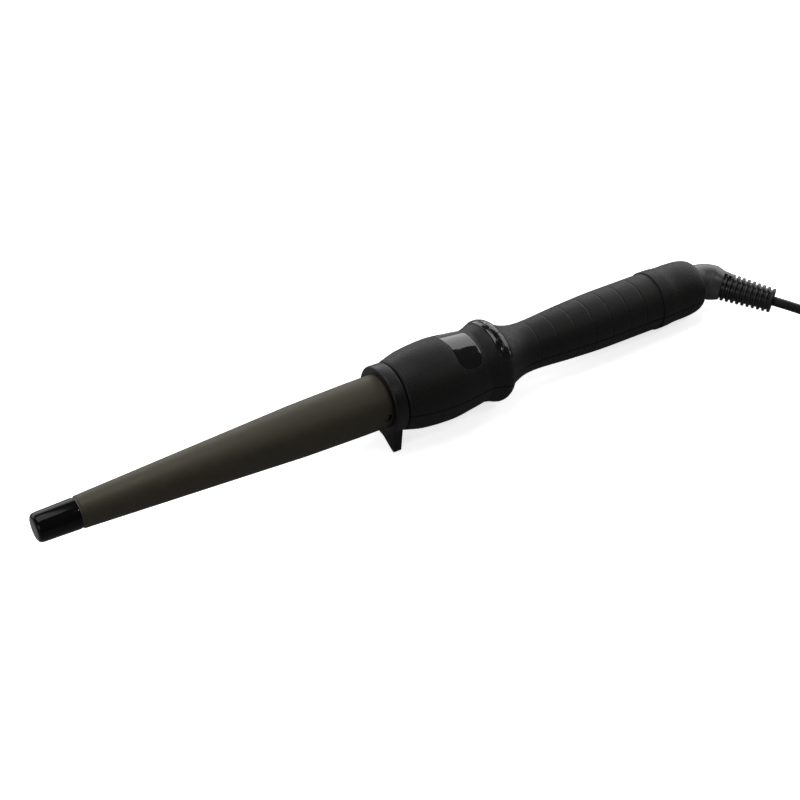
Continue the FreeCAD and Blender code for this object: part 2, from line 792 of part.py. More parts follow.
def make_strain_relief(way, lean):
    """A tapered core with ribs, drawn along its own axis and then leaned over."""
    core = doc.addObject("Part::Cone", "relief_core")
    core.setExpression("Radius1", "Sizes.relief_start_radius - 1.6")
    core.setExpression("Radius2", "Sizes.relief_end_radius - 1.4")
    core.setExpression("Height", "Sizes.relief_length")
    count = int(size("relief_ribs"))
    pitch = size("relief_length") / count
    ribs = []
    for i in range(count):
        rib = doc.addObject("Part::Cylinder", f"relief_rib_{i}")
        share = f"{i} / (Sizes.relief_ribs - 1)"
        taper = "(Sizes.relief_start_radius - Sizes.relief_end_radius)"
        rib.setExpression("Radius", f"Sizes.relief_start_radius - {share} * {taper}")
        rib.setExpression("Height", "0.6 * Sizes.relief_length / Sizes.relief_ribs")
        rib.Placement.Base = Vector(0, 0, (i + 0.4) * pitch)
        ribs.append(rib)
    relief = fuse("relief_solid", [core] + ribs)
    start = Vector(size("ball_x"), 0, 0) + way * size("elbow_length")
    keep("strain_relief", relief, FreeCAD.Placement(start, lean))


# ---------------------------------------------------------------- standing the wand on the floor
def stand_on_floor():
    """Tilt the wand onto its foot and the handle's band, with the origin under its middle."""
    band_x = (size("band_front") + size("band_back")) / 2
    drop = size("foot_depth") - size("band_radius")
    tilt = math.degrees(math.atan2(drop, band_x - COLLAR - 1))
    tilted = FreeCAD.Placement(Vector(), FreeCAD.Rotation(AXIS_Y, tilt))
    box = FreeCAD.BoundBox()
    for piece in pieces.values():
        shape = piece.Shape.copy()
        shape.Placement = tilted.multiply(piece.Placement)
        box.add(shape.optimalBoundingBox(False))
    middle = Vector(-box.Center.x, -box.Center.y, -box.ZMin)
    resting = FreeCAD.Placement(middle, tilted.Rotation)
    for piece in pieces.values():
        piece.Placement = resting.multiply(piece.Placement)
    return resting


# ---------------------------------------------------------------- cord, coil, tie and plug
COIL_MIDDLE = Vector(273, -17, 0)
COIL_FLOOR = size("coil_lift") + size("cord_radius")
PLUG_TURN = FreeCAD.Rotation(AXIS_Z, 45)
PLUG_PLACE = FreeCAD.Placement(Vector(319, -35, size("plug_thickness") / 2), PLUG_TURN)


def tube(label, points):
    """A round tube along straight runs joined by tangent arcs, as large as the runs allow."""
    runs = [(b - a).Length for a, b in zip(points, points[1:])]
    edges = []
    radii = []
    last = points[0]
    for i in range(1, len(points) - 1):
        back = (points[i - 1] - points[i]).normalize()
        ahead = (points[i + 1] - points[i]).normalize()
        half_turn = (math.pi - back.getAngle(ahead)) / 2
        reach = 0.45 * min(runs[i - 1], runs[i])
        radii.append(reach / math.tan(half_turn))
        start = points[i] + back * reach
        stop = points[i] + ahead * reach
        inward = (back + ahead).normalize()
        centre = points[i] + inward * (reach / math.sin(half_turn))
        middle = centre - inward * radii[-1]
        edges.append(Part.LineSegment(last, start).toShape())
        edges.append(Part.Arc(start, middle, stop).toShape())
        last = stop
    edges.append(Part.LineSegment(last, points[-1]).toShape())
    path = Part.Wire(edges)
    along = (points[1] - points[0]).normalize()
    radius = size("cord_radius")
    section = Part.Wire(Part.Circle(points[0], along, radius).toShape())
    cord = doc.addObject("Part::Feature", label + "_tube")
    cord.Shape = path.makePipeShell([section], True, False)
    ratio = cord.Shape.Volume / (math.pi * radius**2 * path.Length)
    print(f"{label}: length {path.Length:.1f}, volume ratio {ratio:.4f}")
    print(f"{label}: radii {[round(r) for r in radii]}")
    cord.Label = label
    pieces[label] = cord


def make_cord(resting):
    """The lead from the strain relief to its coil, and from the coil to the plug."""
    way = Vector(math.cos(ELBOW), -math.sin(ELBOW), 0)
    relief_end = size("elbow_length") + size("relief_length")
    exit_point = resting.multVec(Vector(size("ball_x"), 0, 0) + way * (relief_end + 0.5))
    heading = resting.Rotation.multVec(way)
    print("the cord leaves at", exit_point, "along", heading)
    floor = size("cord_radius")
    tube(
        "cord_run",
        [
            exit_point,
            exit_point + heading * 14,
            Vector(206, -45.5, 7.4),
            Vector(220, -53.5, 3.4),
            Vector(237, -57, floor + 0.2),
            Vector(251, -56.3, COIL_FLOOR),
            Vector(263, -54, COIL_FLOOR),
        ],
    )
    tube(
        "cord_tail",
        [
            Vector(278, -53.1, 17.4),
            Vector(290, -54.5, 15.6),
            Vector(302, -51.0, 11.5),
            Vector(311.5, -43.5, 8.0),
            PLUG_PLACE.multVec(Vector(-0.5, 0, 0)),
        ],
    )


def make_coil():
    """The put-away length as one ring, with the strap that ties it."""
    body = doc.addObject("PartDesign::Body", "coil")
    inner = "Sizes.coil_radius - Sizes.coil_half_width"
    outer = "Sizes.coil_radius + Sizes.coil_half_width"
    low = "Sizes.coil_lift"
    shoulder = "Sizes.coil_lift + Sizes.coil_layers_height"
    top = "Sizes.coil_lift + Sizes.coil_height"
    section = outline_sketch(
        body,
        "coil_section",
        "XZ_Plane",
        [
            (inner, low),
            (outer, low),
            (outer, shoulder),
            (outer + " - 4.6", top),
            (inner + " + 4.6", top),
            (inner, shoulder),
        ],
    )
    turn = body.newObject("PartDesign::Revolution", "coil_turn")
    turn.Profile = section
    turn.ReferenceAxis = (section, ["V_Axis"])
    turn.Angle = 360
    body.Tip = turn
    body.Label = "cord_coil"
    body.Placement = FreeCAD.Placement(COIL_MIDDLE, FreeCAD.Rotation())
    pieces["cord_coil"] = body

    thickness = size("tie_thickness")
    depth = "2 * Sizes.coil_half_width"
    height = "Sizes.coil_height"
    low_corner = (
        size("coil_radius") - size("coil_half_width"),
        -size("tie_width") / 2,
        size("coil_lift"),
    )
    hollow = block("tie_hollow", depth, "Sizes.tie_width", height, low_corner)
    grown_corner = (low_corner[0] - thickness, low_corner[1], low_corner[2] - thickness)
    strap = block(
        "tie_strap",
        depth + " + 2 * Sizes.tie_thickness",
        "Sizes.tie_width",
        height + " + 2 * Sizes.tie_thickness",
        grown_corner,
    )
    tie = cut("tie", strap, hollow)
    tie.Label = "cord_tie"
    tie.Placement = FreeCAD.Placement(COIL_MIDDLE, FreeCAD.Rotation(AXIS_Z, 40))
    pieces["cord_tie"] = tie


def make_plug():
    """A flat two-pin plug, lying on the floor beside the coil, with its pins pointing away."""
    body = doc.addObject("PartDesign::Body", "plug")
    relief = "Sizes.plug_relief_length"
    face = relief + " + Sizes.plug_body_length"
    half = "Sizes.plug_width / 2"
    outline = outline_sketch(
        body,
        "plug_outline",
        "XY_Plane",
        [
            (relief, "-6"),
            (relief + " + 10", "-9"),
            (relief + " + 22", f"-{half}"),
            (face, f"-{half}"),
            (face, half),
            (relief + " + 22", half),
            (relief + " + 10", "9"),
            (relief, "6"),
        ],
    )
    pad = body.newObject("PartDesign::Pad", "plug_pad")
    pad.Profile = outline
    pad.setExpression("Length", "Sizes.plug_thickness")
    pad.SideType = "Symmetric"
    section = outline_sketch(
        body,
        "plug_relief_section",
        "XZ_Plane",
        [
            ("0", "0"),
            ("0", "Sizes.cord_radius + 0.8"),
            (relief, "5.5"),
            (relief + " + 2", "5.5"),
            (relief + " + 2", "0"),
        ],
    )
    turn = body.newObject("PartDesign::Revolution", "plug_relief_turn")
    turn.Profile = section
    turn.ReferenceAxis = (section, ["H_Axis"])
    turn.Angle = 360
    body.Tip = turn
    body.Label = "plug_body"
    body.Placement = PLUG_PLACE
    pieces["plug_body"] = body

    face_x = size("plug_relief_length") + size("plug_body_length")
    pins = [
        rod(f"pin_{i}", "Sizes.pin_radius", "Sizes.pin_length", (face_x, y, 0), (1, 0, 0))
        for i, y in enumerate((-size("pin_spacing") / 2, size("pin_spacing") / 2))
    ]
    pair = fuse("pin_pair", pins)
    pair.Label = "plug_pins"
    pair.Placement = PLUG_PLACE
    pieces["plug_pins"] = pair


# ---------------------------------------------------------------- build
make_cool_tip()
make_barrel()
make_heater()
make_collar()
make_shells()
make_display()
make_buttons()
make_electronics()
elbow_way, elbow_lean = make_swivel()
make_strain_relief(elbow_way, elbow_lean)
doc.recompute()
resting = stand_on_floor()
make_cord(resting)
make_coil()
make_plug()
doc.recompute()

failed = [item.Name for item in doc.Objects if {"Invalid", "Error"} & set(item.State)]
if failed:
    raise RuntimeError(f"these objects failed: {failed}")
for label, piece in pieces.items():
    if piece.Shape.isNull() or not piece.Shape.isValid() or not piece.Shape.Solids:
        raise RuntimeError(f"{label} has no valid solid")
for label, piece in pieces.items():
    piece.Shape.exportStep(f"parts/{label}.step")
print(f"{len(pieces)} pieces written")
print("resting placement", resting.Base, "tilted by", resting.Rotation.Angle)
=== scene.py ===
"""Looks of a conical curling wand with a swivel cord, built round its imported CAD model.

The wand's pieces are drawn in millimetres in the wand's own frame: X runs along its axis from the
end of the cool tip, -Y points to the side with the cord and +Z up through the display. The matrix
WAND takes them to the row frame in metres. The cord, coil and plug lie on the floor and are drawn
in millimetres in the row frame, which the matrix ROW takes to metres.
"""
import json
import math

import bmesh
import bpy
import numpy as np
from mathutils import Matrix, Quaternion, Vector
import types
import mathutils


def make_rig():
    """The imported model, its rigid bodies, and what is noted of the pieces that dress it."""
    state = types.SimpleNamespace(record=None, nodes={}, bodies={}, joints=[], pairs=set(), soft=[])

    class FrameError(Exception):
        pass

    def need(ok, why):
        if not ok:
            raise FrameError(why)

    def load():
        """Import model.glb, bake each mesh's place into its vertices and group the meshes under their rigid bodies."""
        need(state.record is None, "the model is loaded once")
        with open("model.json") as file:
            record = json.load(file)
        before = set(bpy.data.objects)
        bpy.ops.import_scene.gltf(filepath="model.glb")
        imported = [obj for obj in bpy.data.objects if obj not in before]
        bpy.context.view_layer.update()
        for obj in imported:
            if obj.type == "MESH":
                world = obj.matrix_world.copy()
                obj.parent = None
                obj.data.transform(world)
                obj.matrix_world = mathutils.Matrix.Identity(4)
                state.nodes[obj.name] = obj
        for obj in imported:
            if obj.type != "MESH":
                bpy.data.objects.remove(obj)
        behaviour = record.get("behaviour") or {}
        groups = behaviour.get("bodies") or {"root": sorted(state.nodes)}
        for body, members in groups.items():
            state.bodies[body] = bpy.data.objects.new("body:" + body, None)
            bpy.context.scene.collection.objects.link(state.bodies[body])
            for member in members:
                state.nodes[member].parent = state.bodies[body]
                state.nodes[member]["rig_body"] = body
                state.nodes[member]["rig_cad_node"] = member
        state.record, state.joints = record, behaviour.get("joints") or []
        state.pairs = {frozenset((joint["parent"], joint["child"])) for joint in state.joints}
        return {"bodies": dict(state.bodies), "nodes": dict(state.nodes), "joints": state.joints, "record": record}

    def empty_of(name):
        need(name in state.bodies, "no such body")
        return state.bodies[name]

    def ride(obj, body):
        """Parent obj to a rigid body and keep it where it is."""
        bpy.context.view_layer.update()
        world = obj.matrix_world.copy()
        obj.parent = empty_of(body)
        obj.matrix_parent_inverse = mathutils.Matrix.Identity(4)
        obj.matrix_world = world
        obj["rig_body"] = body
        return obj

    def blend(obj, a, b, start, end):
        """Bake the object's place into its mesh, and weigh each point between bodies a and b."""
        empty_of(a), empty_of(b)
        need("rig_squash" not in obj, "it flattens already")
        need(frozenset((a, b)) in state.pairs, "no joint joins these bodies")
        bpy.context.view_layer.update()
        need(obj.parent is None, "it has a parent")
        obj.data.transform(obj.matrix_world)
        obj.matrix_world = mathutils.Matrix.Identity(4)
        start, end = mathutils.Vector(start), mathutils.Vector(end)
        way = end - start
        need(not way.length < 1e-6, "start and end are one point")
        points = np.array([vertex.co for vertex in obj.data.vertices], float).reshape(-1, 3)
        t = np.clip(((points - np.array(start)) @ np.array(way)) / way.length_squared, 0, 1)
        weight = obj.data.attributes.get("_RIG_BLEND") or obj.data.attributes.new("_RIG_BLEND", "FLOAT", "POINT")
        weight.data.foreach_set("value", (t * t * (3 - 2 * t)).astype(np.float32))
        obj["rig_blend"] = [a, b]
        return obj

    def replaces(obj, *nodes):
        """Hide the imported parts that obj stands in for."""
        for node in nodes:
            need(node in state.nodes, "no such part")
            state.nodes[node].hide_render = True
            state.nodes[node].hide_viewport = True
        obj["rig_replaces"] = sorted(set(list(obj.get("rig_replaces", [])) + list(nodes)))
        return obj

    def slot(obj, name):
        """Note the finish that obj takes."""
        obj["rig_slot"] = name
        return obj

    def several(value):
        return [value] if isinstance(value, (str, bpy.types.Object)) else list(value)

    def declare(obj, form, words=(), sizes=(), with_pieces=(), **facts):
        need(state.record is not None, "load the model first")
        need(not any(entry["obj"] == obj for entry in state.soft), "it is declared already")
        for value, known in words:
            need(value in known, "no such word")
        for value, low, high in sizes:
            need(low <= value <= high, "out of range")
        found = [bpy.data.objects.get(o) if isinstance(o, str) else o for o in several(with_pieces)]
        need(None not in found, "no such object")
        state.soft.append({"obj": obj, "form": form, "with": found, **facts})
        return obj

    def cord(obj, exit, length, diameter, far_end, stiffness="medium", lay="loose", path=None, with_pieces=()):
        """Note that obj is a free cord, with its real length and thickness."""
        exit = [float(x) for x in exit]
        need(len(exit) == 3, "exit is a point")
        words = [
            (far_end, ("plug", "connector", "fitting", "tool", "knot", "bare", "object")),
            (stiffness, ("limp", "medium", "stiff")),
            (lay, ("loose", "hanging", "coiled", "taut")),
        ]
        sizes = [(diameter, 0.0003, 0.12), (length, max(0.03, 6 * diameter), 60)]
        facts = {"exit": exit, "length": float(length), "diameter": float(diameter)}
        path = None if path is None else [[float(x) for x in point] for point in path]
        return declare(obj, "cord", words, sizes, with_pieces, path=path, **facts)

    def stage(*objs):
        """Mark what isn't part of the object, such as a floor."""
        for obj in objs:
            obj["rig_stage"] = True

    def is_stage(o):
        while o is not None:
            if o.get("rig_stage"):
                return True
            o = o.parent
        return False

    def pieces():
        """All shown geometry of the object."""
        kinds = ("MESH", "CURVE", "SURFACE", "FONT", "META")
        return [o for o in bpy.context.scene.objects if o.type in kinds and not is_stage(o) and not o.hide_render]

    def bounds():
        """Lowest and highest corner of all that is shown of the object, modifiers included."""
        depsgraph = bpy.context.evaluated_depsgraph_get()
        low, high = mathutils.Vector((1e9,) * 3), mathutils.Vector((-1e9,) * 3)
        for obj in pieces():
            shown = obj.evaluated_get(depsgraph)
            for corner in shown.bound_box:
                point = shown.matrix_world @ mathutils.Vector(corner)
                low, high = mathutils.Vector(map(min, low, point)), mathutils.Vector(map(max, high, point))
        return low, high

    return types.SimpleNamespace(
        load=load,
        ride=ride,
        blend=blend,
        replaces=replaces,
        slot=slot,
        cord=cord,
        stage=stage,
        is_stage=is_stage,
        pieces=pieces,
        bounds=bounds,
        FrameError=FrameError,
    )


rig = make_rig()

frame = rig.load()
cad_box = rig.bounds()

# ---------------------------------------------------------------- driving dimensions, in mm
MM = 0.001
TILT = math.radians(2.96857)
ROW = Matrix.Scale(MM, 4)
WAND = ROW @ Matrix.Translation((-191.8543, 6.7511, 31.8144)) @ Matrix.Rotation(TILT, 4, "Y")

# cool tip and barrel
TIP_LENGTH = 18.6
TIP_RADIUS = 6.85
CONE_END = 121.6
BARREL_SMALL = 7.15
BARREL_CONE = 12.0
BARREL_BASE = 12.6
BARREL_WALL = 0.8
BARREL_SCREW_X = 161.8
BARREL_SCREW_ANGLE = 88.0
BARREL_SCREW_SEAT = 11.66

# collar and its foot
COLLAR_X = 166.6
COLLAR_BACK = 170.5
COLLAR_RADIUS = 16.4
FOOT_HALF_WIDTH = 12.7
FOOT_DEPTH = 23.0
FOOT_ARCH = 20.2
FOOT_THICKNESS = 4.3
FOOT_INNER_RADIUS = 13.4
FOOT_TOE = 1.9

# housing and handle, as stations along the axis and radii there
HOUSING_FRONT = 171.1
NECK_X = 215.1
FLANGE_X = 223.4
WAIST_X = 247.5
BAND_FRONT = 320.6
BAND_BACK = 327.0
BAND_RADIUS = 14.9
BELLY_RADIUS = 14.3
HANDLE_END = 349.8
BORE_RADIUS = 9.2
SHELL_WALL = 2.0
PARTING_GAP = 0.12
GROOVE_PITCH = 10.4
GROOVE_COUNT = 7
GROOVE_BACK = 0.5
# place along the axis and depth of each point of a grip groove
GROOVE_SECTION = [
    (-0.25, 0.0), (-0.2, 0.03), (-0.14, 0.18), (-0.04, 0.21), (0.08, 0.2),
    (0.2, 0.13), (0.36, 0.04), (GROOVE_BACK, 0.0),
]
SHELL_SCREWS = [(191.6, 13.2), (191.6, -13.2), (262.6, 0.0), (304.2, 0.0)]
SCREW_SEAT = 7.5
SCREW_SINK_RADIUS = 2.5
BOSS_RADIUS = 3.4
BOSS_BORE = 1.4
BOSS_SINK = 2.55

# display, button strip and buttons
WINDOW_FRONT = COLLAR_X + 32.6
WINDOW_BACK = COLLAR_X + 46.6
WINDOW_HALF_WIDTH = 13.5
WINDOW_FRONT_CORNER = 4.0
WINDOW_BACK_CORNER = 6.8
PANE_X = [COLLAR_X + 31.0, COLLAR_X + 50.0]
PANE_RADIUS = [19.45, 17.55]
PANE_THICKNESS = 1.2
STRIP_FRONT = COLLAR_X + 54.0
STRIP_BACK = COLLAR_X + 60.8
STRIP_HALF_WIDTH = 16.0
STRIP_CORNER = 3.3
STRIP_THICKNESS = 1.6
STRIP_X = [220.6, 221.4, 222.2, FLANGE_X, 224.6, 225.8, 226.8, 227.4]
STRIP_RADIUS = [19.45, 19.8, 20.02, 20.12, 20.05, 19.7, 19.1, 18.6]
PANEL_GAP = 0.1
LIP_RADIUS = 0.3
LIP_GAP = 0.12
# each button's angle about the wand's axis, in degrees
BUTTONS = {"power_button": 0.0, "minus_button": 30.0, "plus_button": -30.0}
BUTTON_X = COLLAR_X + 57.4
BUTTON_HALF_LENGTH = 2.1
BUTTON_HALF_WIDTH = 3.9
BUTTON_CORNER = 1.1
BUTTON_GAP = 0.17
BUTTON_LIFT = 0.06
BUTTON_THICKNESS = 1.6
BUTTON_STEM = [(15.75, 1.2), (18.6, 1.2)]
SIGN_LIFT = 0.04
SIGN_RADIUS = 0.1

# swivel elbow, strain relief and cord
BALL_X = 358.6
ELBOW_TURN = math.radians(55)
ELBOW_BEND = 9.0
ELBOW_RADIUS = 9.0
ELBOW_LENGTH = 9.7
RELIEF_LENGTH = 26.5
RELIEF_START = 7.35
RELIEF_END = 6.2
RELIEF_RIBS = 10
# place along the relief and outer radius of its plain tongue, then the tongue's other sizes
TONGUE_LINE = [(-0.5, 7.6), (1.2, 7.5), (2.9, 7.2), (4.6, 6.9), (5.2, 6.5)]
TONGUE_INNER = 5.6
TONGUE_MIDDLE = 45
TONGUE_HALF_ANGLE = 42
CORD_RADIUS = 2.4

# points round a turned piece, and the angle from which an edge is drawn sharp
AROUND = 144
SHARP_ANGLE = math.radians(32)
# turns what is drawn along +X to point along +Z
UPRIGHT = Matrix.Rotation(math.radians(-90), 4, "Y")


# ---------------------------------------------------------------- mesh helpers
def about_axis(angle):
    """A turn about the wand's axis by an angle in degrees."""
    return Matrix.Rotation(math.radians(angle), 4, "X")


def add_piece(name, solids, place=WAND, sharp=SHARP_ANGLE):
    """One object from several closed (points, faces) solids."""
    points = []
    faces = []
    for solid_points, solid_faces in solids:
        first = len(points)
        points += [place @ Vector(point) for point in solid_points]
        faces += [[first + i for i in face] for face in solid_faces]
    mesh = bpy.data.meshes.new(name)
    mesh.from_pydata(points, [], faces)
    tidy = bmesh.new()
    tidy.from_mesh(mesh)
    bmesh.ops.recalc_face_normals(tidy, faces=tidy.faces)
    tidy.to_mesh(mesh)
    tidy.free()
    mesh.shade_smooth()
    mesh.set_sharp_from_angle(angle=sharp)
    piece = bpy.data.objects.new(name, mesh)
    bpy.context.scene.collection.objects.link(piece)
    return piece


def loft(rings, closed=False):
    """A solid through closed rings of points: its ends meet when closed, else they are capped."""
    count = len(rings[0])
    points = [point for ring in rings for point in ring]
    faces = []
    last = len(rings) - 1
    for a in range(len(rings) if closed else last):
        b = (a + 1) % len(rings)
        for i in range(count):
            j = (i + 1) % count
            faces.append([a * count + i, b * count + i, b * count + j, a * count + j])
    if not closed:
        faces.append(list(range(count)))
        faces.append([last * count + i for i in range(count)])
    return points, faces


def turned(section, closed=True, around=AROUND):
    """A solid turned about X from a section of (station, radius) points."""
    rings = []
    for station, radius in section:
        turns = [2 * math.pi * i / around for i in range(around)]
        rings.append([(station, radius * math.cos(t), radius * math.sin(t)) for t in turns])
    return loft(rings, closed)


def swept(path, radii, up, closed=False, around=16):
    """A round bar along a path. up is a direction, or one for each point."""
    path = [Vector(point) for point in path]
    count = len(path)
    rings = []
    for i, centre in enumerate(path):
        before = path[i - 1] if i or closed else path[0]
        after = path[(i + 1) % count] if i < count - 1 or closed else path[-1]
        ahead = (after - before).normalized()
        side = ahead.cross(Vector(up[i] if isinstance(up, list) else up)).normalized()
        lift = side.cross(ahead)
        radius = radii[i] if isinstance(radii, list) else radii
        ring = []
        for k in range(around):
            turn = 2 * math.pi * k / around
            ring.append(centre + radius * (math.cos(turn) * side + math.sin(turn) * lift))
        rings.append(ring)
    return loft(rings, closed)


def rounded(corners, steps=5):
    """A flat outline whose (x, y, radius) corners are rounded. A radius of 0 stays sharp."""
    outline = []
    for i, (x, y, radius) in enumerate(corners):
        here = Vector((x, y))
        if radius == 0:
            outline.append(here)
            continue
        back = (Vector(corners[i - 1][:2]) - here).normalized()
        ahead = (Vector(corners[(i + 1) % len(corners)][:2]) - here).normalized()
        half = back.angle(ahead) / 2
        reach = radius / math.tan(half)
        centre = here + (back + ahead).normalized() * (radius / math.sin(half))
        start = here + back * reach - centre
        stop = here + ahead * reach - centre
        sweep = math.pi - 2 * half
        for k in range(steps + 1):
            share = k / steps
            left = math.sin((1 - share) * sweep) / math.sin(sweep)
            right = math.sin(share * sweep) / math.sin(sweep)
            outline.append(centre + left * start + right * stop)
    return outline


def dense(outline, spacing=0.5):
    """A closed flat outline with points at a spacing along its straight sides."""
    line = []
    for i, point in enumerate(outline):
        after = outline[(i + 1) % len(outline)]
        count = max(1, round((after - point).length / spacing))
        line += [point.lerp(after, k / count) for k in range(count)]
    return line


def smooth_line(points, spacing=0.7):
    """Points at a spacing along a smooth line through a few (station, radius) points."""
    points = [Vector(point) for point in points]
    ends = [2 * points[0] - points[1]] + points + [2 * points[-1] - points[-2]]
    line = []
    for before, start, stop, after in zip(ends, ends[1:], ends[2:], ends[3:]):
        count = max(1, round((stop - start).length / spacing))
        left = (stop - before) / ((stop - before).x or 1) * (stop - start).x
        right = (after - start) / ((after - start).x or 1) * (stop - start).x
        for k in range(count):
            t = k / count
            line.append(
                (2 * t**3 - 3 * t**2 + 1) * start
                + (t**3 - 2 * t**2 + t) * left
                + (3 * t**2 - 2 * t**3) * stop
                + (t**3 - t**2) * right
            )
    return line + [points[-1]]


def apply_modifiers(piece):
    """Make the piece's mesh what its modifiers show."""
    depsgraph = bpy.context.evaluated_depsgraph_get()
    mesh = bpy.data.meshes.new_from_object(piece.evaluated_get(depsgraph))
    piece.modifiers.clear()
    piece.data = mesh
    mesh.set_sharp_from_angle(angle=SHARP_ANGLE)


def carve(piece, tools, operation="DIFFERENCE"):
    """Cut other objects out of a piece, or join them to it, and remove them."""
    for tool in tools:
        step = piece.modifiers.new("carve", "BOOLEAN")
        step.operation = operation
        step.solver = "EXACT"
        step.object = tool
    apply_modifiers(piece)
    for tool in tools:
        bpy.data.objects.remove(tool)


def slab(outline, low, high, axis="Z"):
    """A solid between two levels of one axis over a flat outline of the other two axes."""
    def at(point, level):
        first, second = point
        return (first, second, level) if axis == "Z" else (level, first, second)

    return loft([[at(point, low) for point in outline], [at(point, high) for point in outline]])


def soften(piece, width):
    """Round the sharp edges of a piece by a width in mm."""
    step = piece.modifiers.new("round", "BEVEL")
    step.width = width * MM
    step.segments = 3
    step.limit_method = "ANGLE"
    step.angle_limit = math.radians(35)
    step.harden_normals = True
    apply_modifiers(piece)


# ---------------------------------------------------------------- materials
def finish(
    name,
    color,
    roughness,
    metallic=0.0,
    specular=0.5,
    mottle=(9.0, 0.25),
    grain=(0.4, 0.02),
    rough_spread=0.08,
    flecks=None,
    sheen=0.0,
    streak=1.0,
):
    """A finish with colour mottling, uneven roughness and a fine surface grain.

    mottle is (size in mm, share of the colour) and grain (size in mm, height in mm). flecks is
    (size in mm, share covered, colour). streak above 1 stretches the grain along the wand.
    """
    mottle_size, mottle_share = mottle
    grain_size, grain_height = grain
    material = bpy.data.materials.new(name)
    material.use_nodes = True
    nodes = material.node_tree.nodes
    link = material.node_tree.links.new
    shader = nodes["Principled BSDF"]
    shader.inputs["Metallic"].default_value = metallic
    shader.inputs["Specular IOR Level"].default_value = specular
    shader.inputs["Sheen Weight"].default_value = sheen
    shader.inputs["Sheen Roughness"].default_value = 0.5

    place = nodes.new("ShaderNodeTexCoord")
    stretch = nodes.new("ShaderNodeMapping")
    stretch.inputs["Scale"].default_value = (1 / streak, 1, 1)
    link(place.outputs["Object"], stretch.inputs["Vector"])

    def noise(size, detail):
        texture = nodes.new("ShaderNodeTexNoise")
        texture.inputs["Scale"].default_value = 1 / (size * MM)
        texture.inputs["Detail"].default_value = detail
        link(stretch.outputs["Vector"], texture.inputs["Vector"])
        return texture.outputs["Fac"]

    broad = noise(mottle_size, 4.0)
    fine = noise(grain_size, 3.0)
    tone = nodes.new("ShaderNodeMix")
    tone.data_type = "RGBA"
    tone.inputs["A"].default_value = [c * (1 - mottle_share) for c in color] + [1]
    tone.inputs["B"].default_value = [c * (1 + mottle_share) for c in color] + [1]
    link(broad, tone.inputs["Factor"])
    colour_out = tone.outputs["Result"]

    if flecks:
        size, share, fleck_color = flecks
        cells = noise(size, 1.0)
        pick = nodes.new("ShaderNodeMapRange")
        pick.inputs["From Min"].default_value = 0.72 - share
        pick.inputs["From Max"].default_value = 0.82 - share
        link(cells, pick.inputs["Value"])
        speckle = nodes.new("ShaderNodeMix")
        speckle.data_type = "RGBA"
        speckle.inputs["B"].default_value = list(fleck_color) + [1]
        link(pick.outputs["Result"], speckle.inputs["Factor"])
        link(colour_out, speckle.inputs["A"])
        colour_out = speckle.outputs["Result"]
    link(colour_out, shader.inputs["Base Color"])

    rough = nodes.new("ShaderNodeMapRange")
    rough.inputs["From Min"].default_value = 0.3
    rough.inputs["From Max"].default_value = 0.7
    rough.inputs["To Min"].default_value = max(0.02, roughness - rough_spread)
    rough.inputs["To Max"].default_value = min(1.0, roughness + rough_spread)
    link(broad, rough.inputs["Value"])
    link(rough.outputs["Result"], shader.inputs["Roughness"])

    bump = nodes.new("ShaderNodeBump")
    bump.inputs["Strength"].default_value = 0.6
    bump.inputs["Distance"].default_value = grain_height * MM
    link(fine, bump.inputs["Height"])
    link(bump.outputs["Normal"], shader.inputs["Normal"])
    return material


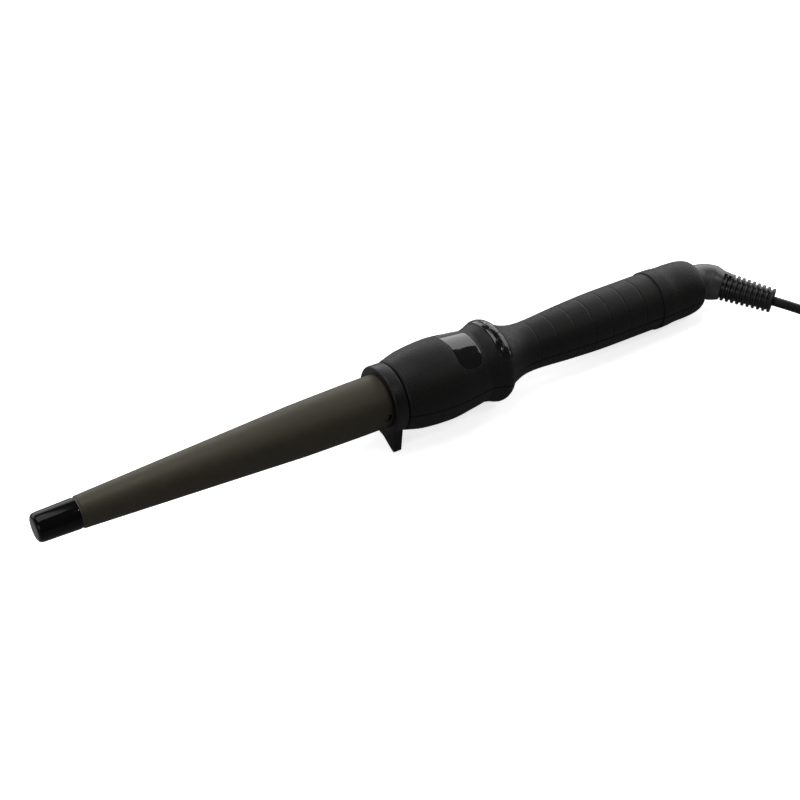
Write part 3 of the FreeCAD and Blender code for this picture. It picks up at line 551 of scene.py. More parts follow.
MATERIALS = {
    "gloss_black_plastic": finish(
        "gloss_black_plastic", (0.0028, 0.0024, 0.0025), 0.1, specular=0.12,
        grain=(1.5, 0.002), rough_spread=0.04),
    "dark_insulator": finish(
        "dark_insulator", (0.03, 0.028, 0.026), 0.6, grain=(0.5, 0.03)),
    "barrel_coating": finish(
        "barrel_coating", (0.042, 0.0365, 0.0255), 0.54, metallic=0.5, specular=0.3,
        mottle=(5.0, 0.16), grain=(0.35, 0.012), rough_spread=0.05,
        flecks=(0.3, 0.05, (0.055, 0.048, 0.035))),
    "dark_steel": finish(
        "dark_steel", (0.05, 0.047, 0.044), 0.35, metallic=1.0, grain=(0.3, 0.01)),
    "aluminium": finish(
        "aluminium", (0.62, 0.62, 0.63), 0.42, metallic=1.0, grain=(0.6, 0.03)),
    "ceramic": finish("ceramic", (0.75, 0.73, 0.68), 0.55, grain=(0.3, 0.01)),
    "steel": finish(
        "steel", (0.5, 0.5, 0.51), 0.3, metallic=1.0, grain=(0.25, 0.008), streak=6.0),
    "wire_insulation": finish("wire_insulation", (0.65, 0.62, 0.56), 0.7, grain=(0.5, 0.04)),
    "satin_black_plastic": finish(
        "satin_black_plastic", (0.0036, 0.0032, 0.003), 0.42, specular=0.24, grain=(0.9, 0.12)),
    "soft_touch_black": finish(
        "soft_touch_black", (0.0062, 0.0057, 0.0053), 0.5, specular=0.17,
        mottle=(1.1, 0.45), grain=(0.9, 0.2)),
    "window_black": finish(
        "window_black", (0.0025, 0.002, 0.0024), 0.04, specular=0.5, grain=(3.0, 0.001),
        rough_spread=0.015),
    "lcd_glass": finish("lcd_glass", (0.2, 0.22, 0.2), 0.1, grain=(1.0, 0.001)),
    "circuit_green": finish(
        "circuit_green", (0.02, 0.13, 0.05), 0.3, grain=(0.4, 0.02),
        flecks=(1.5, 0.1, (0.45, 0.32, 0.12))),
    "component_black": finish("component_black", (0.03, 0.03, 0.03), 0.5, grain=(0.3, 0.02)),
    "brass": finish(
        "brass", (0.7, 0.5, 0.22), 0.28, metallic=1.0, grain=(0.3, 0.008), streak=5.0),
    "cord_jacket": finish(
        "cord_jacket", (0.0075, 0.0075, 0.0073), 0.42, specular=0.18, grain=(0.6, 0.02)),
    "tie_strap": finish(
        "tie_strap", (0.02, 0.02, 0.021), 0.9, specular=0.1, sheen=0.3, grain=(0.5, 0.16)),
    "plug_vinyl": finish(
        "plug_vinyl", (0.009, 0.009, 0.009), 0.46, specular=0.2, grain=(0.4, 0.03)),
    "pin_metal": finish(
        "pin_metal", (0.72, 0.69, 0.63), 0.16, metallic=1.0, grain=(0.4, 0.004), streak=8.0),
    "elbow_plastic": finish(
        "elbow_plastic", (0.03, 0.03, 0.0295), 0.38, specular=0.5, grain=(0.3, 0.012)),
    "relief_vinyl": finish(
        "relief_vinyl", (0.006, 0.0055, 0.0055), 0.3, specular=0.3, grain=(0.4, 0.02)),
}
PRINT = finish("grey_print", (0.2, 0.2, 0.21), 0.5, grain=(0.2, 0.005))
PANEL_GLOSS = finish(
    "panel_gloss", (0.0035, 0.003, 0.0032), 0.09, specular=0.45, grain=(1.5, 0.002),
    rough_spread=0.03)


def dress(piece, slot, nodes=(), body="wand", material=None):
    """Give a piece its finish, the CAD nodes it stands for and the body it rides on."""
    piece.data.materials.clear()
    piece.data.materials.append(material or MATERIALS[slot])
    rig.slot(piece, slot)
    if nodes:
        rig.replaces(piece, *nodes)
    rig.ride(piece, body)


for part in frame["record"]["subparts"]:
    node = frame["nodes"][part["node"]]
    node.data.materials.clear()
    node.data.materials.append(MATERIALS[part["material_slot"]])


# ---------------------------------------------------------------- cool tip and barrel
def make_tip_and_barrel():
    """The gloss end cap and the coated cone, with its two screw holes."""
    end_face = [(0.05, 0.4), (0.0, 1.6), (0.0, 4.4), (0.1, 5.1), (0.38, 5.7), (0.9, 6.15)]
    side = [(1.8, 6.4), (3.2, 6.5), (6.0, 6.55), (TIP_LENGTH - 0.9, TIP_RADIUS)]
    seat = [
        (TIP_LENGTH - 0.4, TIP_RADIUS - 0.05),
        (TIP_LENGTH - 0.05, TIP_RADIUS - 0.35),
        (TIP_LENGTH, BARREL_SMALL - 1.4),
        (TIP_LENGTH + 8, BARREL_SMALL - 1.5),
    ]
    tip = add_piece("cool_tip_cap", [turned(end_face + side + seat, closed=False)])
    dress(tip, "gloss_black_plastic", ["cool_tip"])

    start = TIP_LENGTH + 0.8
    outer = [
        (start, BARREL_SMALL - 0.45),
        (start + 0.1, BARREL_SMALL - 0.15),
        (start + 0.4, BARREL_SMALL),
        (CONE_END - 12, BARREL_CONE - 0.58),
        (CONE_END, BARREL_CONE),
        (CONE_END + 14.4, BARREL_BASE - 0.3),
        (CONE_END + 30, BARREL_BASE),
        (COLLAR_X + 15.4, BARREL_BASE),
    ]
    inner = [(x, r - BARREL_WALL) for x, r in reversed(outer[2:])] + [(start, 5.75)]
    barrel = add_piece("barrel_tube", [turned(outer + inner)])
    holes = []
    for angle in (BARREL_SCREW_ANGLE, -BARREL_SCREW_ANGLE):
        move = Matrix.Translation((BARREL_SCREW_X, 0, 0))
        place = WAND @ about_axis(angle) @ move @ UPRIGHT
        holes.append(add_piece("hole", [turned([(10, 2.0), (14, 2.0)], False, 32)], place))
    carve(barrel, holes)
    dress(barrel, "barrel_coating", ["barrel"])


def screw_head(radius, height, reach):
    """A domed head with a cross recess, pointing along +X from its seat, and its shank."""
    dome = [(-reach, radius * 0.5), (0, radius * 0.5), (0, radius * 0.98), (height * 0.35, radius)]
    for k in range(1, 7):
        turn = math.pi / 2 * k / 6
        dome.append((height * (0.35 + 0.65 * math.sin(turn)), 0.02 + radius * math.cos(turn)))
    head = add_piece("head", [turned(dome, False, 48)], Matrix.Scale(1, 4))
    arm = radius * 0.62
    width = radius * 0.13
    top = height * 1.2
    floor = height * 0.25
    arms = []
    for half_y, half_z in ((arm, width), (width, arm)):
        flat = [(-half_y, -half_z), (half_y, -half_z), (half_y, half_z), (-half_y, half_z)]
        arms.append(add_piece("arm", [slab(flat, floor, top, axis="X")], Matrix.Scale(1, 4)))
    carve(head, arms)
    return head


def set_screws(name, radius, height, reach, places, slot, node):
    """Copies of one screw at several places, as one piece."""
    pattern = screw_head(radius, height, reach)
    points = [tuple(vertex.co) for vertex in pattern.data.vertices]
    faces = [list(polygon.vertices) for polygon in pattern.data.polygons]
    bpy.data.objects.remove(pattern)
    solids = [([tuple(place @ Vector(point)) for point in points], faces) for place in places]
    dress(add_piece(name, solids), slot, [node])


def make_screws():
    """The two screws in the barrel and the four under the handle."""
    seat = Matrix.Translation((BARREL_SCREW_X, 0, BARREL_SCREW_SEAT))
    angles = (BARREL_SCREW_ANGLE, -BARREL_SCREW_ANGLE)
    places = [about_axis(angle) @ seat @ UPRIGHT for angle in angles]
    set_screws("barrel_screw_heads", 1.8, 1.05, 3.6, places, "dark_steel", "barrel_screws")
    downward = Matrix.Rotation(math.radians(90), 4, "Y")
    places = [Matrix.Translation((x, y, -SCREW_SEAT)) @ downward for x, y in SHELL_SCREWS]
    set_screws("shell_screw_heads", 2.3, 1.6, 7.0, places, "steel", "shell_screws")


# ---------------------------------------------------------------- collar with its foot
def make_collar():
    """The ring at the barrel's base and the arched foot that the wand stands on."""
    bore = BARREL_BASE + 0.1
    front = COLLAR_X - 2.6
    section = rounded(
        [
            (front, bore, 0.15),
            (front, COLLAR_RADIUS, 0.9),
            (COLLAR_BACK, COLLAR_RADIUS - 0.1, 0.7),
            (COLLAR_BACK, bore, 0.15),
        ]
    )
    collar = add_piece("collar_ring", [turned([tuple(point) for point in section])])
    half = FOOT_HALF_WIDTH
    arch = [(3, -FOOT_ARCH), (-3, -FOOT_ARCH)]
    under_bore = []
    for k in range(13):
        turn = math.radians(-152 + 124 * k / 12)
        under_bore.append((FOOT_INNER_RADIUS * math.cos(turn), FOOT_INNER_RADIUS * math.sin(turn)))
    outline = [(half, -FOOT_DEPTH), (half - FOOT_TOE, -FOOT_DEPTH)] + arch
    outline += [(-half + FOOT_TOE, -FOOT_DEPTH), (-half, -FOOT_DEPTH), (-half + 0.4, -8)]
    outline += under_bore + [(half - 0.4, -8)]
    foot = add_piece("foot", [slab(outline, COLLAR_BACK - FOOT_THICKNESS, COLLAR_BACK, axis="X")])
    soften(foot, 0.45)
    carve(collar, [foot], "UNION")
    dress(collar, "satin_black_plastic", ["collar_stand"])


# ---------------------------------------------------------------- housing and handle shells
HOUSING_LINE = [(172.5, 16.75), (181.1, 18.8), (196.0, 19.8), (207.1, 18.7), (NECK_X, 17.6)]
GRIP_LINE = [
    (NECK_X, 17.6), (218.8, 18.5), (FLANGE_X, 20.0), (226.8, 19.1), (229.6, 16.3),
    (238.4, 12.9), (WAIST_X, 12.1), (267.5, 13.3), (286.0, 14.15), (306.0, BELLY_RADIUS),
    (BAND_FRONT, BELLY_RADIUS),
]
TAIL_LINE = [
    (BAND_FRONT + 3.0, BAND_RADIUS), (BAND_BACK, BAND_RADIUS - 0.1),
    (BAND_BACK + 4.5, BELLY_RADIUS + 0.1), (339.8, BELLY_RADIUS), (345.4, 13.8),
    (348.6, 12.8), (HANDLE_END, 11.4),
]


def shell_outer():
    """The outline of the housing and handle as (station, radius), grooves included."""
    line = [Vector((HOUSING_FRONT, 15.4)), Vector((HOUSING_FRONT + 0.15, 15.9))]
    line.append(Vector((HOUSING_FRONT + 0.6, 16.35)))
    line += smooth_line(HOUSING_LINE)[:-1]
    grip = smooth_line(GRIP_LINE, 0.6)
    first = WAIST_X - 0.5
    grooves = [first + i * GROOVE_PITCH for i in range(GROOVE_COUNT)]
    plain_x = [point.x for point in grip]
    plain_radius = [point.y for point in grip]
    for groove in grooves:
        grip = [p for p in grip if abs(p.x - groove) > GROOVE_BACK + 0.15]
        for offset, depth in GROOVE_SECTION:
            x = groove + offset
            grip.append(Vector((x, float(np.interp(x, plain_x, plain_radius)) - depth)))
    line += sorted(grip, key=lambda p: p.x)
    line += [
        Vector((BAND_FRONT + 0.05, BELLY_RADIUS + 0.3)),
        Vector((BAND_FRONT + 0.15, BAND_RADIUS - 0.45)),
        Vector((BAND_FRONT + 0.65, BAND_RADIUS)),
    ]
    return line + smooth_line(TAIL_LINE)


OUTER = shell_outer()


def outer_radius(x):
    """The radius of the housing or handle at a station."""
    return float(np.interp(x, [p.x for p in OUTER], [p.y for p in OUTER]))


def half_shell(name, side):
    """One half of the housing and handle, with rolled edges along the parting line."""
    edge = PARTING_GAP
    rows = [(edge + 0.02, 0.42), (edge + 0.1, 0.2), (edge + 0.28, 0.05), (edge + 0.55, 0.0)]
    steps = 72
    rings = []
    for point in OUTER:
        radius = point.y
        inner = max(radius - SHELL_WALL, BORE_RADIUS)
        if point.x < HOUSING_FRONT + 2.5:
            inner = BARREL_BASE + 0.2
        if point.x > HANDLE_END - 8:
            inner = BORE_RADIUS
        arc = [(math.sqrt((radius - drop) ** 2 - z**2), z) for z, drop in rows]
        start = math.asin((edge + 0.9) / radius)
        for k in range(steps + 1):
            turn = start + (math.pi - 2 * start) * k / steps
            arc.append((radius * math.cos(turn), radius * math.sin(turn)))
        arc += [(-y, z) for y, z in reversed(arc[: len(rows)])]
        back = []
        for y, z in arc:
            share = inner / math.hypot(y, z)
            back.append((y * share, max(z * share, edge)))
        ring = arc + back[::-1]
        rings.append([(point.x, y * -side, z * side) for y, z in ring])
    count = len(rings[0])
    points, faces = loft(rings)
    # each end face becomes a strip between the outer and the inner arc
    faces = faces[:-2]
    half = count // 2
    last = (len(rings) - 1) * count
    for first in (0, last):
        for i in range(half - 1):
            faces.append([first + i, first + i + 1, first + count - 2 - i, first + count - 1 - i])
    return add_piece(name, [(points, faces)])


def window_outline(inset=0.0):
    """The display opening in plan, with larger corners towards the handle."""
    front = WINDOW_FRONT + inset
    back = WINDOW_BACK - inset
    half = WINDOW_HALF_WIDTH - inset
    small = WINDOW_FRONT_CORNER - inset
    large = WINDOW_BACK_CORNER - inset
    corners = [(front, -half, small), (back, -half, large), (back, half, large)]
    corners.append((front, half, small))
    return dense(rounded(corners, 8))


def strip_outline(inset=0.0):
    """The opening for the button strip in plan."""
    front = STRIP_FRONT + inset
    back = STRIP_BACK - inset
    half = STRIP_HALF_WIDTH - inset
    corners = [(front, -half), (back, -half), (back, half), (front, half)]
    return dense(rounded([(x, y, STRIP_CORNER - inset) for x, y in corners], 8))


def rim(outline):
    """A rounded lip round an opening, on the surface of the shell."""
    path = []
    normals = []
    for x, y in outline:
        radius = outer_radius(x) - LIP_RADIUS
        height = math.sqrt(radius**2 - y**2)
        path.append((x, y, height))
        normals.append((0, y, height))
    return swept(path, LIP_RADIUS, normals, closed=True, around=14)


def make_shells():
    """Both halves of the housing and handle, their openings and the screw bosses."""
    upper = half_shell("upper_shell_skin", 1)
    tools = [add_piece("window_cut", [slab(window_outline(), 4, 30)])]
    tools.append(add_piece("strip_cut", [slab(strip_outline(), 4, 30)]))
    carve(upper, tools)
    dress(upper, "soft_touch_black", ["upper_shell"])
    lips = add_piece("opening_lips", [rim(window_outline(-LIP_GAP)), rim(strip_outline(-LIP_GAP))])
    dress(lips, "soft_touch_black")

    lower = half_shell("lower_shell_skin", -1)
    tools = []
    for x, y in SHELL_SCREWS:
        turns = [2 * math.pi * k / 40 for k in range(40)]
        radius = SCREW_SINK_RADIUS
        circle = [(x + radius * math.cos(t), y + radius * math.sin(t)) for t in turns]
        tools.append(add_piece("sink", [slab(circle, -26, -SCREW_SEAT - 0.5)]))
    carve(lower, tools)
    dress(lower, "soft_touch_black", ["lower_shell"])
    dress(add_piece("screw_bosses", [boss(x, y) for x, y in SHELL_SCREWS]), "soft_touch_black")


def boss(x, y):
    """The sleeve that a shell screw sits in, from the wall up to the parting plane."""
    top = -0.3
    seat = -SCREW_SEAT + 0.05
    # each row's radius and level, with no level where it meets the wall
    rows = [(BOSS_RADIUS, None), (BOSS_RADIUS, top), (BOSS_BORE, top)]
    rows += [(BOSS_BORE, seat), (BOSS_SINK, seat), (BOSS_SINK, None)]
    rings = []
    for radius, level in rows:
        ring = []
        for k in range(40):
            turn = 2 * math.pi * k / 40
            across = y + radius * math.sin(turn)
            wall = outer_radius(x) - 0.9
            low = -math.sqrt(max(wall**2 - across**2, 1))
            ring.append((x + radius * math.cos(turn), across, low if level is None else level))
        rings.append(ring)
    return loft(rings, closed=True)


# ---------------------------------------------------------------- display and buttons
def crowned(stations, radii, lift=0.0):
    """The height of a round top at (x, y), from its radius at stations along the wand."""
    def height(x, y):
        radius = float(np.interp(x, stations, radii)) + lift
        return math.sqrt(radius**2 - y**2)

    return height


def cap(outline, surface, thickness, edge=0.35):
    """A panel over a plan outline, with a rolled edge. surface(x, y) is the height of its top."""
    centre = sum(outline, Vector((0, 0))) / len(outline)

    def shrunk(inset):
        return [point + (centre - point).normalized() * inset for point in outline]

    rings = []
    for k in range(1, 13):
        share = k / 12
        flat = [centre + (point - centre) * share for point in shrunk(edge)]
        rings.append([(x, y, surface(x, y)) for x, y in flat])
    for k in range(1, 5):
        turn = math.pi / 2 * k / 4
        flat = shrunk(edge * (1 - math.sin(turn)))
        drop = edge * (1 - math.cos(turn))
        rings.append([(x, y, surface(x, y) - drop) for x, y in flat])
    underside = surface(*centre) - thickness
    rings.append([(x, y, surface(x, y) - thickness) for x, y in outline])
    rings.append([(*(centre + (point - centre) * 0.08), underside) for point in outline])
    return loft(rings)


def make_window():
    """The dark pane over the display."""
    top = crowned(PANE_X, PANE_RADIUS)
    pane = add_piece("display_pane", [cap(window_outline(PANEL_GAP), top, PANE_THICKNESS)])
    dress(pane, "window_black", ["display_window"])


def button_outline(grow=0.0):
    """The top button's outline in plan, or that of its hole when grown by the gap."""
    half_x = BUTTON_HALF_LENGTH + grow
    half_y = BUTTON_HALF_WIDTH + grow
    corner = BUTTON_CORNER + grow
    corners = [(-half_x, -half_y), (half_x, -half_y), (half_x, half_y), (-half_x, half_y)]
    return dense(rounded([(BUTTON_X + x, y, corner) for x, y in corners], 6))


def sign(name, angle):
    """A plain printed sign on a button: a power ring, a minus or a plus."""
    height = crowned(STRIP_X, STRIP_RADIUS, SIGN_LIFT)

    def on_top(along, across):
        return BUTTON_X + along, across, height(BUTTON_X + along, across)

    bar = (-0.9, -0.3, 0.3, 0.9)
    lines = []
    if name == "power_button":
        turns = [math.radians(35 + 290 * k / 28) for k in range(29)]
        lines.append([on_top(math.cos(t), math.sin(t)) for t in turns])
        lines.append([on_top(x, 0) for x in (0.3, 0.8, 1.3)])
    else:
        lines.append([on_top(0, y) for y in bar])
        if name == "plus_button":
            lines.append([on_top(x, 0) for x in bar])
    strokes = [swept(line, SIGN_RADIUS, (0, 0, 1), around=8) for line in lines]
    return add_piece(name + "_sign", strokes, WAND @ about_axis(angle))


def make_buttons():
    """The gloss strip on the flange and the three buttons in it."""
    top = crowned(STRIP_X, STRIP_RADIUS)
    panel = cap(strip_outline(PANEL_GAP), top, STRIP_THICKNESS, 0.4)
    strip = add_piece("button_strip", [panel])
    tools = []
    for angle in BUTTONS.values():
        hole = slab(button_outline(BUTTON_GAP), 12, 24)
        tools.append(add_piece("button_hole", [hole], WAND @ about_axis(angle)))
    carve(strip, tools)
    dress(strip, "gloss_black_plastic", ["button_bezel"], material=PANEL_GLOSS)

    button_top = crowned(STRIP_X, STRIP_RADIUS, BUTTON_LIFT)
    button_cap = cap(button_outline(), button_top, BUTTON_THICKNESS, 0.3)
    stem_points, stem_faces = turned(BUTTON_STEM, False, 32)
    upright = Matrix.Translation((BUTTON_X, 0, 0)) @ UPRIGHT
    stem = ([tuple(upright @ Vector(point)) for point in stem_points], stem_faces)
    for name, angle in BUTTONS.items():
        button = add_piece(name + "_cap", [button_cap, stem], WAND @ about_axis(angle))
        dress(button, "gloss_black_plastic", [name], name, PANEL_GLOSS)
        dress(sign(name, angle), "gloss_black_plastic", (), name, PRINT)


# ---------------------------------------------------------------- swivel elbow and strain relief
# puts what is drawn along +X on the elbow's outer leg
LEAN = Matrix.Translation((BALL_X, 0, 0)) @ Matrix.Rotation(-ELBOW_TURN, 4, "Z")


def make_elbow():
    """The neck in the handle's end and its bend, down to where the relief starts."""
    reach = ELBOW_BEND * math.tan(ELBOW_TURN / 2)
    path = [(HANDLE_END - 8.4, 0, 0), (HANDLE_END - 0.2, 0, 0)]
    radii = [ELBOW_RADIUS, ELBOW_RADIUS]
    for k in range(17):
        turn = ELBOW_TURN * k / 16
        x = BALL_X - reach + ELBOW_BEND * math.sin(turn)
        y = -ELBOW_BEND * (1 - math.cos(turn))
        path.append((x, y, 0))
        radii.append(ELBOW_RADIUS)
    ball = Vector((BALL_X, 0, 0))
    way = Vector((math.cos(ELBOW_TURN), -math.sin(ELBOW_TURN), 0))
    for k in range(1, 13):
        share = k / 12
        along = reach + (ELBOW_LENGTH - reach) * share
        path.append(ball + way * along)
        radii.append(ELBOW_RADIUS + (RELIEF_START - ELBOW_RADIUS) * share**1.3)
    path.append(ball + way * (ELBOW_LENGTH + 0.35))
    radii.append(RELIEF_START - 0.5)
    elbow = add_piece("elbow_shell", [swept(path, radii, (0, 0, 1), around=72)])
    dress(elbow, "elbow_plastic", ["swivel_elbow"], "swivel")


def make_strain_relief():
    """Round-topped rings on a tapered core, with a plain tongue over the first ones."""
    pitch = RELIEF_LENGTH / RELIEF_RIBS
    start = ELBOW_LENGTH
    core = [(start - 1, RELIEF_START - 1.3), (start, RELIEF_START - 1.2)]
    core.append((start + RELIEF_LENGTH, RELIEF_END - 1.1))
    solids = [turned(core, False, 64)]
    for i in range(RELIEF_RIBS):
        outer = RELIEF_START + (RELIEF_END - RELIEF_START) * i / (RELIEF_RIBS - 1)
        low = start + (i + 0.38) * pitch
        high = low + 0.6 * pitch
        foot = outer - 1.5
        corners = [(low, foot, 0), (low, outer, 0.6), (high, outer, 0.6), (high, foot, 0)]
        solids.append(turned([tuple(point) for point in rounded(corners, 5)], True, 96))
    tongue = []
    angles = [TONGUE_MIDDLE + TONGUE_HALF_ANGLE * (k / 6 - 1) for k in range(13)]
    for x, radius in TONGUE_LINE:
        ring = []
        for reach, order in ((radius, angles), (TONGUE_INNER, angles[::-1])):
            turns = [math.radians(angle) for angle in order]
            ring += [(start + x, reach * math.cos(t), reach * math.sin(t)) for t in turns]
        tongue.append(ring)
    solids.append(loft(tongue))
    relief = add_piece("strain_relief_sleeve", solids, WAND @ LEAN)
    dress(relief, "relief_vinyl", ["strain_relief"], "swivel")


# ---------------------------------------------------------------- cord, coil, tie and plug
COIL_MIDDLE = Vector((273, -17, 0))
PLUG_PLACE = Matrix.Translation((319, -35, 6.85)) @ Matrix.Rotation(math.radians(45), 4, "Z")
TURN_POINTS = 16
COLUMN_PITCH = 4.8
COIL_OUTER = 36.0
COIL_COLUMNS = 4
COIL_LAYERS = 3
COIL_START = math.radians(-75)
COIL_FLOOR = 3.2
TIE_ANGLE = math.radians(40)


def coil_points():
    """The coil's turns: in and out in layers, then one more turn that leads out on top."""
    turn = 0.0
    radius = COIL_OUTER
    level = COIL_FLOOR
    keys = [(turn, radius, level)]
    step = -COLUMN_PITCH
    for _ in range(COIL_LAYERS):
        for _ in range(COIL_COLUMNS - 1):
            keys.append((turn + 0.75, radius, level))
            turn += 1.0
            radius += step
            keys.append((turn, radius, level))
        keys.append((turn + 0.5, radius, level))
        turn += 0.75
        level += COLUMN_PITCH
        keys.append((turn, radius, level))
        step = -step
    keys += [(turn + 0.75, radius + 1.0, level), (turn + 1.1, radius + 5.6, level)]
    keys.append((turn + 1.7, COIL_OUTER - 0.5, level))
    turns, radii, levels = zip(*keys)
    points = []
    for k in range(int(turns[-1] * TURN_POINTS) + 1):
        now = k / TURN_POINTS
        # the smooth line runs this share inside its control points
        out = float(np.interp(now, turns, radii)) / math.cos(math.pi / TURN_POINTS)
        angle = COIL_START + 2 * math.pi * now
        height = float(np.interp(now, turns, levels))
        points.append(COIL_MIDDLE + Vector((out * math.cos(angle), out * math.sin(angle), height)))
    return points


def cord_route():
    """Every control point of the lead, from the strain relief to the plug."""
    exit_point = Vector((187.2865, -23.3118, 12.1534))
    heading = Vector((0.57281, -0.81915, -0.02970))
    way_in = [
        exit_point - heading * 2,
        exit_point + heading * 14,
        Vector((206, -45.5, 7.4)),
        Vector((220, -53.5, 3.4)),
        Vector((237, -57, 2.6)),
        Vector((251, -56.3, 3.2)),
        Vector((265, -54.6, 3.2)),
    ]
    way_out = [
        Vector((278, -53.4, 17.4)),
        Vector((290, -54.5, 15.6)),
        Vector((302, -51.0, 11.5)),
        Vector((311.5, -43.3, 8.0)),
        PLUG_PLACE @ Vector((-0.5, 0, 0)),
    ]
    return way_in + coil_points() + way_out


def make_cord():
    """The lead's tube, the line it follows and its length in metres."""
    curve = bpy.data.curves.new("cord_line", "CURVE")
    curve.dimensions = "3D"
    curve.resolution_u = 6
    spline = curve.splines.new("NURBS")
    route = cord_route()
    spline.points.add(len(route) - 1)
    for knot, point in zip(spline.points, route):
        knot.co = (*(ROW @ point), 1)
    spline.order_u = 3
    spline.use_endpoint_u = True
    guide = bpy.data.objects.new("cord_line", curve)
    bpy.context.scene.collection.objects.link(guide)
    line = [vertex.co.copy() for vertex in bpy.data.meshes.new_from_object(guide).vertices]
    bpy.data.objects.remove(guide)
    length = sum((b - a).length for a, b in zip(line, line[1:]))

    cord = add_piece(
        "cord_jacket_tube",
        [swept(line, CORD_RADIUS * MM, (0, 0, 1), around=20)],
        Matrix.Identity(4),
    )
    cord.data.materials.append(MATERIALS["cord_jacket"])
    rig.slot(cord, "cord_jacket")
    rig.replaces(cord, "cord_run", "cord_coil", "cord_tail")
    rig.blend(cord, "swivel", "wand", start=line[0], end=ROW @ Vector((237, -57, 2.6)))
    return cord, line, length


def make_tie():
    """A flat strap round one side of the coil, with its loose end on top."""
    loop = rounded(
        [
            (18.85, 0.45, 2.5), (38.95, 0.45, 2.5), (38.95, 15.4, 2.5),
            (31.5, 20.35, 2.5), (18.85, 20.35, 2.5),
        ],
        6,
    )
    rings = []
    section = rounded([(-4, -0.33, 0.3), (4, -0.33, 0.3), (4, 0.33, 0.3), (-4, 0.33, 0.3)], 3)
    for i, point in enumerate(loop):
        ahead = (loop[(i + 1) % len(loop)] - loop[i - 1]).normalized()
        out = Vector((ahead.y, -ahead.x))
        ring = []
        for across, thick in section:
            spot = point + out * thick
            ring.append((spot.x, across, spot.y))
        rings.append(ring)
    flap = rounded([(-3.9, -0.02, 0), (3.9, -0.02, 0), (3.9, 0.5, 0.2), (-3.9, 0.5, 0.2)], 3)
    end = []
    for k in range(9):
        x = 21 + 9 * k / 8
        end.append([(x, y, 20.72 + z) for y, z in flap])
    place = ROW @ Matrix.Translation(COIL_MIDDLE) @ Matrix.Rotation(TIE_ANGLE, 4, "Z")
    tie = add_piece("coil_tie_strap", [loft(rings, closed=True), loft(end)], place)
    dress(tie, "tie_strap", ["cord_tie"])
    return tie


# station, width and thickness of the plug's body
PLUG_SECTIONS = [
    (17.0, 10.6, 10.6), (18.5, 11.6, 11.6), (22.0, 13.4, 12.2), (27.0, 17.6, 12.8),
    (31.0, 23.5, 13.3), (35.0, 29.8, 13.6), (38.5, 33.6, 13.6), (42.0, 35.1, 13.7),
    (50.6, 35.3, 13.7), (51.5, 34.9, 13.3), (52.0, 33.7, 12.2),
]
PLUG_GROOVES = [38.0, 41.5, 45.0]
PIN_HALF_SPACING = 9.3
PIN_RADIUS = 2.0
PIN_ROOT = 50.0
PIN_BARE = 61.0
PIN_SHOULDER = 69.4


def plug_relief():
    """The outline of the grooved sleeve where the cord enters the plug."""
    line = [(0.0, 2.55), (0.0, 3.2)]
    for k in range(1, 6):
        x = 3.1 * k
        out = 3.2 + 2.3 * x / 18
        line += [(x - 0.9, out), (x - 0.6, out - 0.7), (x + 0.2, out - 0.7), (x + 0.5, out)]
    return line + [(18.0, 5.5), (20.0, 5.5), (20.0, 2.55)]


def plug_rings():
    """Sections of the plug's body, round at the cord and nearly square at the pins."""
    stations, widths, thicknesses = zip(*PLUG_SECTIONS)
    rings = []
    for step in range(91):
        x = 17.0 + 35.0 * step / 90
        wide = float(np.interp(x, stations, widths))
        thick = float(np.interp(x, stations, thicknesses))
        for groove in PLUG_GROOVES:
            thick -= 1.1 * math.exp(-(((x - groove) / 0.8) ** 2))
        power = 2 / (2.0 + 2.6 * min(1.0, max(0.0, (x - 18) / 16)))
        ring = []
        for k in range(96):
            across = math.cos(2 * math.pi * k / 96)
            up = math.sin(2 * math.pi * k / 96)
            y = wide / 2 * math.copysign(abs(across) ** power, across)
            z = thick / 2 * math.copysign(abs(up) ** power, up)
            ring.append((x, y, z))
        rings.append(ring)
    return rings


def pin_pair(section, closed):
    """A turned section at the place of each pin."""
    points, faces = turned(section, closed, 40)
    return [
        ([(x, y + side, z) for x, y, z in points], faces)
        for side in (-PIN_HALF_SPACING, PIN_HALF_SPACING)
    ]


def make_plug():
    """The moulded plug, its two pins and their sleeves."""
    place = ROW @ PLUG_PLACE
    solids = [turned(plug_relief(), True, 64), loft(plug_rings())]
    body = add_piece("plug_moulding", solids, place, math.radians(50))
    dress(body, "plug_vinyl", ["plug_body"])

    pin = [(PIN_ROOT, 1.7), (PIN_BARE, 1.7), (PIN_BARE + 0.05, PIN_RADIUS)]
    pin.append((PIN_SHOULDER, PIN_RADIUS))
    for k in range(1, 6):
        turn = math.pi / 2 * k / 5
        pin.append((PIN_SHOULDER + 1.6 * math.sin(turn), 0.35 + 1.65 * math.cos(turn)))
    pins = add_piece("plug_pin_pair", pin_pair(pin, False), place)
    dress(pins, "pin_metal", ["plug_pins"])

    sleeve = [(PIN_ROOT, 1.75), (PIN_ROOT, 1.98), (PIN_BARE, 1.98), (PIN_BARE, 1.75)]
    sleeves = add_piece("plug_pin_sleeves", pin_pair(sleeve, True), place)
    dress(sleeves, "plug_vinyl")
    return [body, pins, sleeves]


# ---------------------------------------------------------------- build the pieces
make_tip_and_barrel()
make_screws()
make_collar()
make_shells()
make_window()
make_buttons()
make_elbow()
make_strain_relief()
cord, cord_line, cord_length = make_cord()
tie = make_tie()
plug = make_plug()
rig.cord(
    cord,
    exit=cord_line[0],
    length=cord_length,
    diameter=2 * CORD_RADIUS * MM,
    far_end="plug",
    stiffness="medium",
    lay="coiled",
    path=cord_line,
    with_pieces=plug + [tie],
)


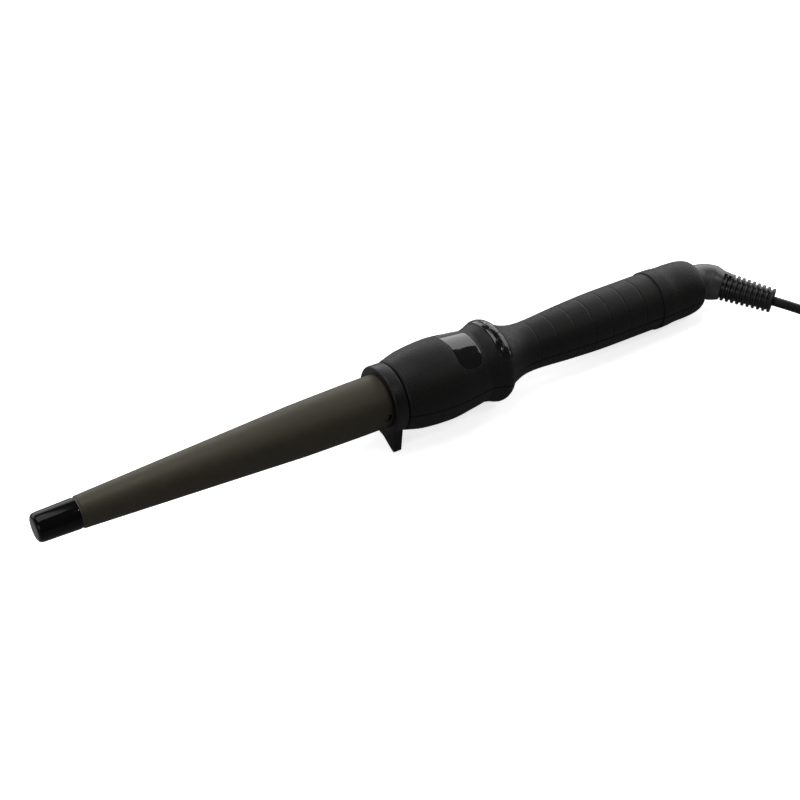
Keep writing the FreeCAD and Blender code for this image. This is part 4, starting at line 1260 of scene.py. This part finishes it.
# ---------------------------------------------------------------- floor, light and camera
FLOOR_HALF = 14.0
FLOOR_GLOW = 0.72
FLOOR_BOUNCE = 0.3
WORLD_STRENGTH = 0.12
LENS = 67.5
SENSOR = 36
CAMERA_AT = (-0.29104, -0.40441, 0.49420)
CAMERA_AHEAD = Vector((0.4003, 0.5990, -0.6936))
CAMERA_ROLL = math.radians(2.19)


def make_floor():
    """A white table that stays white in the picture and throws little light on the wand."""
    mesh = bpy.data.meshes.new("floor")
    half = FLOOR_HALF
    corners = [(-half, -half, 0), (half, -half, 0), (half, half, 0), (-half, half, 0)]
    mesh.from_pydata(corners, [], [(0, 1, 2, 3)])
    floor = bpy.data.objects.new("floor", mesh)
    bpy.context.scene.collection.objects.link(floor)
    material = finish("pale_floor", (0.86, 0.86, 0.86), 0.7, specular=0.2, mottle=(400, 0.01))
    nodes = material.node_tree.nodes
    link = material.node_tree.links.new
    shader = nodes["Principled BSDF"]
    path = nodes.new("ShaderNodeLightPath")
    glow = nodes.new("ShaderNodeMath")
    glow.operation = "MULTIPLY"
    glow.inputs[1].default_value = FLOOR_GLOW
    link(path.outputs["Is Camera Ray"], glow.inputs[0])
    link(glow.outputs["Value"], shader.inputs["Emission Strength"])
    shader.inputs["Emission Color"].default_value = (1, 1, 1, 1)
    seen = nodes.new("ShaderNodeMix")
    seen.data_type = "RGBA"
    seen.inputs["A"].default_value = (FLOOR_BOUNCE, FLOOR_BOUNCE, FLOOR_BOUNCE, 1)
    link(path.outputs["Is Camera Ray"], seen.inputs["Factor"])
    link(shader.inputs["Base Color"].links[0].from_socket, seen.inputs["B"])
    link(seen.outputs["Result"], shader.inputs["Base Color"])
    floor.data.materials.append(material)
    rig.stage(floor)


def softbox(name, at, target, wide, high, power):
    """A rectangular lamp in metres and watts that points from one place at another."""
    lamp = bpy.data.lights.new(name, "AREA")
    lamp.shape = "RECTANGLE"
    lamp.size = wide
    lamp.size_y = high
    lamp.energy = power
    box = bpy.data.objects.new(name, lamp)
    box.location = at
    box.rotation_mode = "QUATERNION"
    box.rotation_quaternion = (Vector(target) - Vector(at)).to_track_quat("-Z", "Y")
    bpy.context.scene.collection.objects.link(box)


def make_lights():
    """Large soft lamps above, behind and to the right, and two small ones in front."""
    world = bpy.data.worlds.new("studio")
    bpy.context.scene.world = world
    world.use_nodes = True
    sky = world.node_tree.nodes["Background"]
    sky.inputs["Color"].default_value = (1, 1, 1, 1)
    sky.inputs["Strength"].default_value = WORLD_STRENGTH
    softbox("overhead", (-0.35, 0.45, 1.5), (-0.3, 0.1, 0), 1.2, 1.2, 16)
    softbox("right_wall", (1.3, 1.1, 0.7), (0, 1.1, 0.7), 2.6, 1.38, 29)
    softbox("back_wall", (-0.45, 1.4, 0.45), (-0.45, 0, 0.45), 2.2, 0.9, 18)
    softbox("left_fill", (-1.1, -0.5, 0.6), (0, 0, 0), 0.6, 0.6, 3)
    softbox("glint", (0.55, -0.72, 1.4), (0, 0, 0), 0.1, 0.1, 2)


def make_camera():
    """The camera at the product view."""
    lens = bpy.data.cameras.new("camera")
    lens.lens = LENS
    lens.sensor_width = SENSOR
    camera = bpy.data.objects.new("camera", lens)
    camera.location = CAMERA_AT
    roll = Quaternion((0, 0, 1), CAMERA_ROLL)
    camera.rotation_mode = "QUATERNION"
    camera.rotation_quaternion = CAMERA_AHEAD.to_track_quat("-Z", "Y") @ roll
    bpy.context.scene.collection.objects.link(camera)
    bpy.context.scene.camera = camera


make_floor()
make_lights()
make_camera()
bpy.context.scene.view_settings.view_transform = "Standard"

boxes = {"cad": cad_box, "visual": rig.bounds()}
with open("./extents.json", "w") as report:
    json.dump({name: [list(corner) for corner in box] for name, box in boxes.items()}, report)
